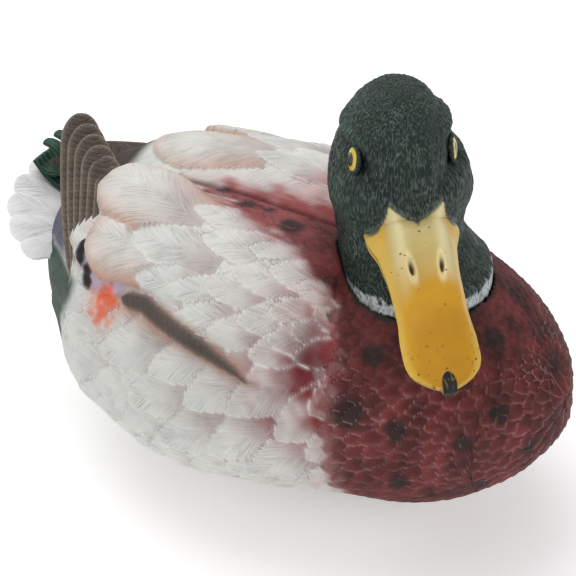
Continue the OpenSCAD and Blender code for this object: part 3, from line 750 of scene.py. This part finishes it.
flight = feather_finish("flight_feathers", 0.9, 0.4, (0.45, 0.42, 0.4), 0.66)
tail_paint = feather_finish("tail_feathers", 1.0, 0.5, (0.66, 0.66, 0.7), 0.6)
brown = (rgb(54, 46, 41), rgb(106, 94, 85), rgb(168, 152, 138))
right = []
for k in range(6):
    p = np.array([[-64, 63 - k, 106], [-30 - 3 * k, 95 - 6 * k, 127 + k],
        [-4 - 3 * k, 107 - 5.3 * k, 158 - 2.7 * k]], float)
    right.append(vane(bezier_path(p), (-0.5, -0.3, 0.8), 19 - 0.7 * k, 3.6, brown, 0.16, 1.5,
        (0.2, 0.16), 330, 30, 0.012))
join(right, "right_primaries", "hull", flight, ["right_wing_primaries"], "flight_brown")
left = []
for k in range(3):
    p = np.array([[50, 66, 112 + k], [24 + 3 * k, 104 - 4 * k, 121 + k],
        [-3 + 9 * k, 137 - 9 * k, 119 + 2 * k]], float)
    left.append(vane(bezier_path(p), (0, 0, 1), 18, 3.6, brown, 0.16, 1.5, (0.2, 0.2), 260, 24, 0.01))
join(left, "left_primaries", "hull", flight, ["left_wing_primaries"], "flight_brown")

# The fan: nine broad feathers, the middle one on top
fan_lo, fan_hi = box_mm("tail_fan")
fan_x = (fan_hi[0] - fan_lo[0]) / 2
white = (rgb(232, 232, 232), rgb(206, 206, 210), rgb(244, 244, 244))
fan = []
for turn_deg in (-84, 84, -63, 63, -42, 42, -21, 21, 0):
    r = np.radians(turn_deg)
    tip = np.array([fan_x * np.sin(r), fan_hi[1] - 27 + 27 * np.cos(r), 100 + 17 * np.cos(r)])
    foot = np.array([8 * np.sin(r), 90, 97 - 4 * np.cos(r)])
    middle = (tip + foot) / 2 + np.array([3 * np.sin(r), 0, 3.5])
    fan.append(vane(bezier_path([foot, middle, tip]), (0.25 * np.sin(r), -0.35, 1), 18, 2.6 + 0.01
        * abs(turn_deg), white, 0.0, 1.1, (0.5, 0.16), 130, 28, 0.012))
join(fan, "tail_feathers", "hull", tail_paint, ["tail_fan"], "tail_white")


# ---------------------------------------------------------------- curled feathers
def tube(path, up, wide, thick, colour, grooves, around=36):
    way, side, top = frames_along(path, np.array(up, float))
    t = np.linspace(0, 1, len(path))
    size = blunt(t / 0.06) * (0.55 + 0.45 * blunt((1 - t) / 0.75)) * blunt((1 - t) / 0.04)
    a = np.linspace(0, 2 * np.pi, around, endpoint=False)
    ripple = 1 + 0.09 * np.sin(grooves * a[None] + 3 * np.sin(5 * t[:, None]))
    pts = path[:, None] + (size[:, None] * ripple * np.cos(a) * wide)[..., None] * side[:, None]
    pts = pts + (size[:, None] * ripple * np.sin(a) * thick)[..., None] * top[:, None]
    rows = len(path)
    faces = grid_quads(rows, around, True)[:, ::-1].tolist()
    pts = np.concatenate([pts.reshape(-1, 3), [path[0], path[-1]]])
    faces += end_caps(rows, around)
    # painted highlight and shade: the ripples' crests are painted lighter green and their grooves darker, in
    # step with the ripple relief
    shade = mix(colour[0], colour[1], 0.5 + 0.5 * np.sin(grooves * a[None] + 3 * np.sin(5 * t[:, None])))
    shade = np.concatenate([shade.reshape(-1, 3), [colour[0], colour[0]]])
    flat = np.concatenate([np.broadcast_to(a * 3, (rows, around)).ravel(), [0, 0]])
    deep_f = np.concatenate([np.broadcast_to(t[:, None] * 12, (rows, around)).ravel(), [0, 0]])
    return pts, faces, shade, flat, deep_f, np.full(len(pts), rng.random())


curl_hi = box_mm("tail_curls")[1]
curls = []
for sign in (-1, 1):
    a = np.radians(np.linspace(200, 470, 110))
    loop = np.stack([np.full(a.shape, sign * 3.5) + 0.8 * sign * np.sin(a), 128 - 8.5 * np.cos(a),
        curl_hi[2] - 10 + 8.5 * np.sin(a)], 1)
    root = bezier_path([np.array([sign * 2.5, 108, 112.0]), np.array([sign * 3, 126, 108.0]), loop[0]], 30)
    curls.append(tube(np.concatenate([root[:-1], loop]), (1, 0, 0.01), 2.0, 4.2,
        (rgb(28, 52, 42), rgb(58, 92, 76)), 9))
curl_paint = feather_finish("curl_feathers", 0.8, 0.4, (0.4, 0.45, 0.42), 0.45)
join(curls, "curled_feathers", "hull", curl_paint, ["tail_curls"], "curl_green")

# ---------------------------------------------------------------- head
head_lo = box_mm("head_shell")[0]
HEAD_TURN = np.radians(-47.6)
head_shift = 7
# Height, forward place of the middle, half-length, half-width, share of the sideways shift
HEAD = [
    [113, 0.0, 34.0, 34.0, 0.00], [133, 0.0, 34.0, 34.0, 0.00], [142, -2.0, 31.0, 30.5, 0.50],
    [152, -5.5, 26.5, 28.0, 0.95], [163, -8.5, 28.5, 29.0, 1.00], [174, -10.0, 32.0, 30.6, 1.00],
    [184, -11.0, 32.5, 29.0, 1.00], [193, -11.5, 31.0, 25.5, 1.00], [203, -12.0, 26.0, 22.5, 1.00],
    [211, -13.0, 18.5, 16.0, 1.00], [216, -14.0, 8.0, 6.5, 1.00], [216.8, -14.2, 0.2, 0.2, 1.00],
]


def turned(p, share=1.0):
    """From the head's own frame, centred on its middle plane and facing -Y, to the shared frame."""
    x, y = p[..., 0] - head_shift * share, p[..., 1]
    c, s = np.cos(HEAD_TURN), np.sin(HEAD_TURN)
    return np.stack([c * x - s * y, s * x + c * y + neck_y, p[..., 2]], -1)


head_rows, head_columns = 250, 300
fine_z = head_lo[2] + (216.79 - head_lo[2]) * np.sin(np.linspace(0, np.pi / 2, 1500))
walk = np.hypot(np.diff(fine_z), np.diff(curve_through(HEAD, fine_z, 2)))
walked = np.concatenate([[0], np.cumsum(walk)])
hz = np.interp(np.linspace(0, walked[-1], head_rows), walked, fine_z)[:, None]
ha = np.linspace(0, 2 * np.pi, head_columns, endpoint=False)[None]
hx = curve_through(HEAD, hz, 3) * np.cos(ha)
hy = -curve_through(HEAD, hz, 1) - curve_through(HEAD, hz, 2) * np.sin(ha)
share = curve_through(HEAD, hz, 4)
hz = np.broadcast_to(hz, hx.shape)
share = np.broadcast_to(share, hx.shape)
flat_head = np.stack([hx, hy, hz], -1)
centre = np.stack([0 * hx, -curve_through(HEAD, hz, 1), hz], -1)
hn = unit(np.cross(np.gradient(flat_head, axis=1), np.gradient(flat_head, axis=0)))
hn = np.where((np.sum(hn * (flat_head - centre), -1) < 0)[..., None], -hn, hn)


def bill_line(x):
    """Height of the line where bill meets feathers: a notch in the middle and a horn on each side."""
    return np.interp(np.abs(x), [0, 4, 8.5, 11.6, 12.7, 13.6, 16, 20, 26],
        [170.0, 171.8, 175.6, 178.2, 173.0, 168.6, 165.0, 160.5, 156.5])


def ridges(x):
    """The bill's cross profile near its base: a channel between two ridges."""
    return 1.2 * bell(np.abs(x) - 9, 2.8) - 0.9 * bell(x, 3.4)


EYES = {-1: np.array([22.7, -0.6, 191.2]), 1: np.array([20.3, -1.6, 191.8])}
EYE = EYES[-1]
ax, ay, az = np.abs(hx), hy, hz
fromeye = np.sqrt((ay - EYE[1]) ** 2 + (az - EYE[2]) ** 2) + 9 * (ax < 10)
brow_y = np.clip(ay, -22, 20)
tilt = 3.5 * (hx > 0)
brow_z = EYE[2] + 8.5 + tilt - 0.03 * (brow_y + 2) ** 2 * (brow_y < -2)
brow = bell(az - brow_z, 2.8) * (1 - ramp(ay, 20, 30)) * ramp(ay, -9, 1) * ramp(ax, 8, 14)
groove_z = EYE[2] + 0.55 * np.clip(ay + 6, -22, 0)
groove = bell(az - groove_z, 3.6) * ramp(-ay, -4, 3) * (1 - ramp(-ay, 21, 27)) * ramp(ax, 7, 12)
cheek = np.exp(-(((az - 171) / 11) ** 2) - (((ay + 4) / 13) ** 2)) * ramp(ax, 8, 20)
crown = bell(ax, 6) * ramp(az, 196, 206)
socket = bell(fromeye, 6.5)
temple = bell(az - EYE[2] - 3.2 - tilt, 2.6) * ramp(ay, 3, 8) * (1 - ramp(ay, 20, 28))
slim = ramp(hx, 6, 15) * ramp(az, 184, 192) * (1 - ramp(az, 208, 214))
lift = 1.9 * brow - 2.6 * groove + 2.2 * cheek + 0.4 * crown - 2.0 * socket - 2.0 * temple - 2.2 * slim
strokes = lumps(np.stack([hx / 1.5, hy / 1.5 - 0.25 * hz, hz / 4.0], -1), 1.0, 31) - 0.5
strokes = strokes + 0.7 * (lumps(np.stack([hx / 1.1, hy / 1.1 - 0.3 * hz, hz / 2.8], -1), 1.0, 32) - 0.5)
soft_bill = ramp(bill_line(hx) - az, -0.4, 0.5) * (ay < -14) * (az > 156) * (ax < 21)
lift = lift + 0.75 * strokes * (1 - soft_bill) * np.where(hz < collar_z + 2, 0.35, 1.0)
lift = lift + 0.6 * bell(az - bill_line(hx) - 1.2, 1.5) * (ay < -12) * (az > 158)
lift = lift + soft_bill * (ridges(hx) + 0.2)
lift = np.where(hz < collar_z, np.minimum(lift, 0.15), lift)
moved = flat_head + hn * lift[..., None]
tone = lumps(flat_head, 14, 41) - 0.5
head_tint = mix(GREEN, rgb(24, 42, 34), clamp(0.4 + 1.6 * tone))
# painted highlight: paler green on the raised brow and cheek, mixed with random patches; painted shade: darker
# green in the groove by the eye
head_tint = mix(head_tint, rgb(60, 84, 72),
    0.45 * clamp(brow + 0.8 * cheek + 1.2 * (lumps(flat_head, 8, 42) - 0.5)))
head_tint = mix(head_tint, rgb(20, 34, 28), 0.7 * groove)
bill_rim = bell(az - bill_line(hx) - 1.1, 1.3) * (ay < -12) * (az > 157)
head_tint = mix(head_tint, rgb(112, 124, 114), 0.6 * bill_rim)
ringed = ramp(hz + 2.2 * strokes, collar_z - 0.5, collar_z + 0.5) * (1 - ramp(hz + 4.5 * strokes,
    collar_z + 6.2, collar_z + 8.0))
ringed = ringed * clamp(0.9 + 2.2 * (lumps(np.stack([ha * 40 + 0 * hz, hz / 3, hz * 0], -1), 1.0, 43) - 0.35))
head_tint = mix(head_tint, rgb(208, 214, 218), ringed)
BILL_CREAM = rgb(224, 212, 164)


def enamel(x, reach, ragged_q):
    """Bill paint: an olive channel between two cream ridges at the base, turning deep yellow further out."""
    x = np.abs(x) * np.ones_like(ragged_q)
    base = mix(rgb(196, 180, 122), BILL_CREAM, bell(x - 9.3, 2.6))
    base = mix(base, rgb(214, 170, 72), ramp(x, 11.5, 15.5))
    paint = mix(base, rgb(204, 152, 30), ramp(ragged_q, 31, 50))
    return mix(paint, rgb(190, 136, 10), 0.9 * ramp(reach, 46, 62) * (1 - ramp(x, 9, 15)))


head_tint = mix(head_tint, enamel(hx, -hy, -hy), soft_bill)
n_head = head_rows * head_columns
poles = [[0, -curve_through(HEAD, np.array(216.7), 1), 216.8], [0, 0, head_lo[2]]]
world = turned(np.concatenate([moved.reshape(-1, 3), poles]), np.append(share.ravel(), [1, 0]))
head_faces = grid_quads(head_rows, head_columns, True).tolist()
head_faces += [[n_head, n_head - head_columns + (j + 1) % head_columns, n_head - head_columns + j]
    for j in range(head_columns)]
head_faces += [[n_head + 1, j, (j + 1) % head_columns] for j in range(head_columns)]
flow_field = np.stack([hx / 0.75, hy / 0.75 - 0.35 * hz, hz / 2.6], -1).reshape(-1, 3)
flow_field = np.concatenate([flow_field, flow_field[-1:], flow_field[:1]])
head_tint = np.concatenate([head_tint.reshape(-1, 3), [GREEN, GREEN]])
add_mesh("head_skin", world, head_faces, "head", hair_finish("painted_down"), ["head_shell"],
    "head_green", tint=head_tint, flow=flow_field, bare=np.concatenate([soft_bill.ravel(), [0, 0]]))

# ---------------------------------------------------------------- bill
# Reach, half-width, crest, edge and underside heights
BILL = [
    [6, 19.5, 168.0, 158.5, 151.0], [16, 20.2, 173.0, 157.0, 149.5], [26, 17.0, 171.0, 153.0, 146.5],
    [41, 15.3, 159.5, 147.0, 141.0], [52, 15.2, 150.5, 141.5, 136.0], [64, 16.2, 142.0, 135.0, 130.0],
    [74, 16.0, 134.5, 129.5, 126.0], [82, 14.0, 129.5, 126.5, 124.0],
]
bill_rows, bill_columns = 230, 200
q = 6 + 76 * np.sin(np.linspace(0.01, 0.9985, bill_rows) * np.pi / 2)[:, None]
ba = np.linspace(0, 2 * np.pi, bill_columns, endpoint=False)[None]
be = blunt((82 - q) / 13)
half = curve_through(BILL, q, 1) * be
edge_z = curve_through(BILL, q, 3)
crest = (curve_through(BILL, q, 2) - edge_z) * (0.5 + 0.5 * be)
under_z = (edge_z - curve_through(BILL, q, 4)) * (0.5 + 0.5 * be)
sb, cb = np.sin(ba), np.cos(ba)
shape_up = np.where(sb > 0, crest * np.abs(sb), -under_z * np.abs(sb))
bx = half * cb
bz = edge_z + shape_up
by = -np.broadcast_to(q, bx.shape)
upper = (sb > 0.02) * np.ones_like(bx)
# a ridge on each side of a channel near the base, a lip, and a slit between the two halves of the bill
base_part = 1 - ramp(q, 34, 50)
bz = bz + base_part * upper * ridges(bx) * ramp(q, 8, 16)
bz = bz + 0.7 * upper * bell(bx, 3.5) * ramp(q, 50, 62) * (1 - ramp(q, 70, 78))
lip_line = bell(np.abs(sb) - 0.16, 0.09) * (sb > 0)
slit = bell(sb, 0.055)
bx = bx * (1 + 0.035 * lip_line - 0.05 * slit)
nostril = np.where(upper > 0, np.hypot((np.abs(bx) - 6.6 - 0.12 * (by + 40)) / 0.95, (by + 40.0) / 2.3), 9)
bz = bz + 0.55 * np.exp(-((nostril - 1.9) ** 2) / 0.3) - 1.6 * np.exp(-((nostril / 0.9) ** 4))
nail_line = (bx / 3.3) ** 2 + ((q - 81.5) / 4.6) ** 2
nail = 1 - ramp(nail_line, 0.75, 1.15)
by = by - 1.9 * nail * ramp(q, 79, 82)
bz = bz + 0.5 * nail - 1.6 * nail * ramp(q, 80, 82)
bp = np.stack([bx, by, bz], -1)
bp = bp + 0.16 * (lumps(bp, 5, 51) - 0.5)[..., None]
bill_tint = enamel(bx, q, q + 12 * (lumps(bp, 13, 52) - 0.5))
bill_tint = mix(bill_tint, rgb(214, 184, 88), 0.6 * ramp(np.abs(bx) / half, 0.8, 0.97))
bill_tint = mix(bill_tint, rgb(238, 222, 176), 0.7 * np.exp(-((nostril - 1.9) ** 2) / 0.4))
bill_tint = mix(bill_tint, BLACK, np.exp(-((nostril / 0.95) ** 6)))
bill_tint = mix(bill_tint, rgb(16, 18, 15), nail)
bill_tint = mix(bill_tint, rgb(150, 128, 44), 0.5 * nail * ramp(lumps(bp * [1.6, 0.4, 0.5], 1.0, 54),
    0.7, 0.9))
specks = ramp(lumps(bp, 1.3, 53), 0.74, 0.86) * ramp(lumps(bp, 6.0, 55), 0.5, 0.75) * ramp(q, 60, 72)
bill_tint = mix(bill_tint, rgb(84, 60, 24), 0.8 * specks * (1 - nail))
bill_tint = mix(bill_tint, rgb(150, 118, 60), 0.7 * slit)
above_line = ramp(bz - bill_line(bx), 0.0, 0.9) * (q < 34) * upper
bill_tint = mix(bill_tint, rgb(70, 84, 74), above_line)
bill_world = turned(np.concatenate([bp.reshape(-1, 3), [[0, -6, 158.5], [0, -82, 126.5]]]))
bill_faces = grid_quads(bill_rows, bill_columns, True).tolist()
bill_faces += end_caps(bill_rows, bill_columns)
bf = Finish("bill_enamel")
bill_colour = bf.field("tint", "Color")
scuff = bf.noise(260.0, None, 4.0)
streaks = bf.noise(55.0, None, 5.0)
bill_shade = bf.blend(bill_colour,
    bf.ramp(streaks, [(0.3, (0.86, 0.82, 0.72)), (0.7, (1.06, 1.05, 1.0))]), 0.8, "MULTIPLY")
bill_shade = bf.blend(bill_shade, (0.10, 0.06, 0.02), bf.ramp(bf.noise(420.0, None, 1.0),
    [(0.22, 0.8), (0.27, 0)]))
bill_rough = bf.remap(scuff, 0, 1, 0.3, 0.5)
bill_paint = bf.finish(bill_shade, bf.math("ADD", scuff, streaks), 0.12, bill_rough, 0.0, 0.25)
bill_tint = np.concatenate([bill_tint.reshape(-1, 3), [BILL_CREAM, BLACK]])
add_mesh("bill_skin", bill_world, bill_faces, "head", bill_paint, ["bill"], "bill_yellow", tint=bill_tint)

# ---------------------------------------------------------------- eyes
ef = Finish("glass_eye")
iris = ef.field("radius")
rays = ef.noise(1.0, ef.field("spin", "Vector"), 2.0)
shade = ef.ramp(
    ef.math("ADD", iris, ef.math("MULTIPLY", ef.math("SUBTRACT", rays, 0.5), 0.06)),
    [(0.0, 0.004), (0.47, 0.004), (0.53, (0.62, 0.42, 0.03)), (0.80, (0.72, 0.58, 0.08)),
        (0.86, (0.02, 0.02, 0.015))],
)
eye_paint = ef.finish(shade, ef.noise(300.0), 0.02, 0.16, 0.0, 0.25)
for name, sign in (("right_eye", -1), ("left_eye", 1)):
    yaw, pitch = sign * np.radians(83 if sign < 0 else 70), np.radians(80)
    cy, sy, cp, sp = np.cos(yaw), np.sin(yaw), np.cos(pitch), np.sin(pitch)
    turn_eye = np.array([[cy, -sy, 0], [sy, cy, 0], [0, 0, 1]]) @ np.array([[1, 0, 0], [0, cp, -sp],
        [0, sp, cp]])
    r = np.linspace(0.03, 1, 34)[:, None]
    a = np.linspace(0, 2 * np.pi, 72, endpoint=False)[None]
    dome = np.stack([5.6 * r * np.cos(a), 6.2 * r * np.sin(a), 2.9 * np.sqrt(1 - 0.93 * r**2) - 0.9 + 0
        * a], -1)
    local_eye = dome @ turn_eye.T + EYES[sign] * [sign, 1, 1]
    apex = np.array([[0, 0, 2.0]]) @ turn_eye.T + EYES[sign] * [sign, 1, 1]
    pts = np.concatenate([local_eye.reshape(-1, 3), apex])
    faces = grid_quads(34, 72, True).tolist() + [[34 * 72, (j + 1) % 72, j] for j in range(72)]
    radius_f = np.concatenate([np.broadcast_to(r, (34, 72)).ravel(), [0]])
    spin = np.stack([np.broadcast_to(np.cos(a) * 9, (34, 72)).ravel(),
        np.broadcast_to(np.sin(a) * 9, (34, 72)).ravel(), np.zeros(34 * 72)], 1)
    spin = np.concatenate([spin, [[0, 0, 0]]])
    world_eye = turned(pts)
    add_mesh(name + "_glass", world_eye, faces, "head", eye_paint, [name], "eye_glass", radius=radius_f,
        spin=spin)
    # the lid, a soft rim of dark down round the glass
    b = np.linspace(0, 2 * np.pi, 18, endpoint=False)[None, :]
    c = np.linspace(0, 2 * np.pi, 120, endpoint=False)[:, None]
    fat = 0.95 + 0.18 * np.sin(9 * c) * np.sin(4 * c + 1)
    rim = 5.5 + fat * np.cos(b)
    lid = np.stack([rim * np.cos(c) * 1.08, rim * np.sin(c) * 1.1, 0.2 + fat * np.sin(b) * 1.1], -1)
    lid_local = lid @ turn_eye.T + EYES[sign] * [sign, 1, 1]
    lid_world = turned(lid_local)
    lid_flow = np.stack([c * 9 + 0 * b, b * 1.0 + 0 * c, 0 * b + 0 * c], -1)
    lid_faces = grid_quads(120, 18, True).tolist()
    lid_faces += [[119 * 18 + j, 119 * 18 + (j + 1) % 18, (j + 1) % 18, j] for j in range(18)]
    add_mesh(name + "_lid", lid_world, lid_faces, "head", bpy.data.materials["painted_down"], [],
        "head_green",
             tint=np.broadcast_to(rgb(30, 42, 38),
                 lid_world.shape), flow=lid_flow, bare=np.zeros(lid_world.shape[:2]))

# ---------------------------------------------------------------- finishes of the carried-over CAD pieces
steel = plain_finish("stainless", (178, 178, 180), (150, 150, 154), 0.32, 200.0, 0.06, 1.0)
rubber = plain_finish("seal_rubber", (44, 44, 46), (58, 57, 58), 0.75, 240.0, 0.15)
nylon = plain_finish("nylon", (214, 212, 202), (198, 196, 184), 0.4, 150.0, 0.08)
board = plain_finish("grained_board", (172, 150, 116), (140, 116, 84), 0.7, 60.0, 0.25, grain=(6, 0.6, 2))
foam = plain_finish("closed_cell_foam", (224, 214, 160), (206, 194, 138), 0.85, 500.0, 0.4)
olive = plain_finish("keel_plastic", (86, 90, 66), (72, 76, 54), 0.6, 180.0, 0.25)
iron = plain_finish("cast_ballast", (96, 96, 100), (74, 74, 78), 0.65, 300.0, 0.3, 0.6)
plug = plain_finish("plug_rubber", (36, 36, 38), (50, 50, 52), 0.6, 220.0, 0.12)

pf = Finish("painted_pan")
place = pf.add("TexCoord").outputs["Object"]
split = pf.add("SeparateXYZ", {0: place})
wobble = pf.noise(70.0, place, 4.0)
front_y = pf.math("ADD", split.outputs[1], pf.math("MULTIPLY", wobble, 0.02))
worn = pf.blend(tuple(rgb(222, 217, 212)), tuple(rgb(196, 182, 176)), pf.ramp(pf.noise(45.0, place, 5.0),
    [(0.35, 0), (0.7, 1)]))
red = pf.blend(tuple(rgb(118, 50, 54)), tuple(rgb(84, 34, 38)), pf.noise(110.0, place, 4.0))
share_red = pf.ramp(pf.remap(front_y, -0.083, -0.073, 1.0, 0.0), [(0, 0), (1, 1)])
pan_shade = pf.blend(worn, red, share_red)
pan_height = pf.math("ADD", wobble, pf.math("MULTIPLY", pf.noise(800.0, place, 2.0), 0.4))
pan_paint = pf.finish(pan_shade, pan_height, 0.5, 0.6)

FINISHES = {
    "base_pan": pan_paint, "hull_seal": rubber, "hull_screws": steel, "deck_board": board, "foam_core": foam,
    "neck_socket": board, "neck_bush": nylon, "keel": olive, "keel_ballast": iron, "keel_screws": steel,
    "plug_bush": board, "drain_plug": plug, "plug_seal": rubber, "neck_spigot": nylon, "thrust_washer": nylon,
    "neck_bolt": steel, "spring_washers": steel, "friction_spring": steel, "neck_nut": steel,
}
for node, material in FINISHES.items():
    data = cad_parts[node].data
    data.materials.clear()
    data.materials.append(material)

# ---------------------------------------------------------------- stage, lights and camera
bpy.ops.mesh.primitive_plane_add(size=6, location=(0, 0, -0.0002))
floor = bpy.context.object
floor.name = "floor"
paper = Finish("floor_paper")
floor.data.materials.append(paper.finish(paper.blend((0.93, 0.93, 0.93), (0.95, 0.95, 0.95),
    paper.noise(8.0)), paper.noise(200.0), 0.02, 0.9))
for shader in paper.tree.nodes:
    if shader.type == "BSDF_PRINCIPLED":
        shader.inputs["Emission Color"].default_value = (1, 1, 1, 1)
        shader.inputs["Emission Strength"].default_value = 0.28

world = bpy.data.worlds.new("studio")
bpy.context.scene.world = world
world.use_nodes = True
world.node_tree.nodes["Background"].inputs[0].default_value = (1, 1, 1, 1)
world.node_tree.nodes["Background"].inputs[1].default_value = 0.6


def area_light(name, place, size, power, aim=(0, 0, 0.09)):
    data = bpy.data.lights.new(name, "AREA")
    data.size = size
    data.energy = power
    lamp = bpy.data.objects.new(name, data)
    bpy.context.scene.collection.objects.link(lamp)
    lamp.location = place
    lamp.rotation_mode = "QUATERNION"
    lamp.rotation_quaternion = (Vector(aim) - Vector(place)).to_track_quat("-Z", "Y")


area_light("key", (0.05, 0.3, 1.05), 0.9, 6.0)
area_light("fill", (-0.5, -0.9, 0.7), 0.9, 1.2)

FOCAL_LENGTH = 127.24
AZIMUTH, ELEVATION = -59.39, 36.09
TARGET, DISTANCE = (-0.00017, -0.00302, 0.09446), 0.95226
cam_data = bpy.data.cameras.new("camera")
camera = bpy.data.objects.new("camera", cam_data)
bpy.context.scene.collection.objects.link(camera)
bpy.context.scene.camera = camera
cam_data.lens = FOCAL_LENGTH
cam_data.sensor_width = 36
cam_data.clip_end = 20
azimuth, elevation = np.radians(AZIMUTH), np.radians(ELEVATION)
away = Vector((np.sin(azimuth) * np.cos(elevation), -np.cos(azimuth) * np.cos(elevation), np.sin(elevation)))
camera.location = Vector(TARGET) + away * DISTANCE
camera.rotation_mode = "QUATERNION"
camera.rotation_quaternion = away.to_track_quat("Z", "Y")
bpy.context.scene.view_settings.view_transform = "Standard"
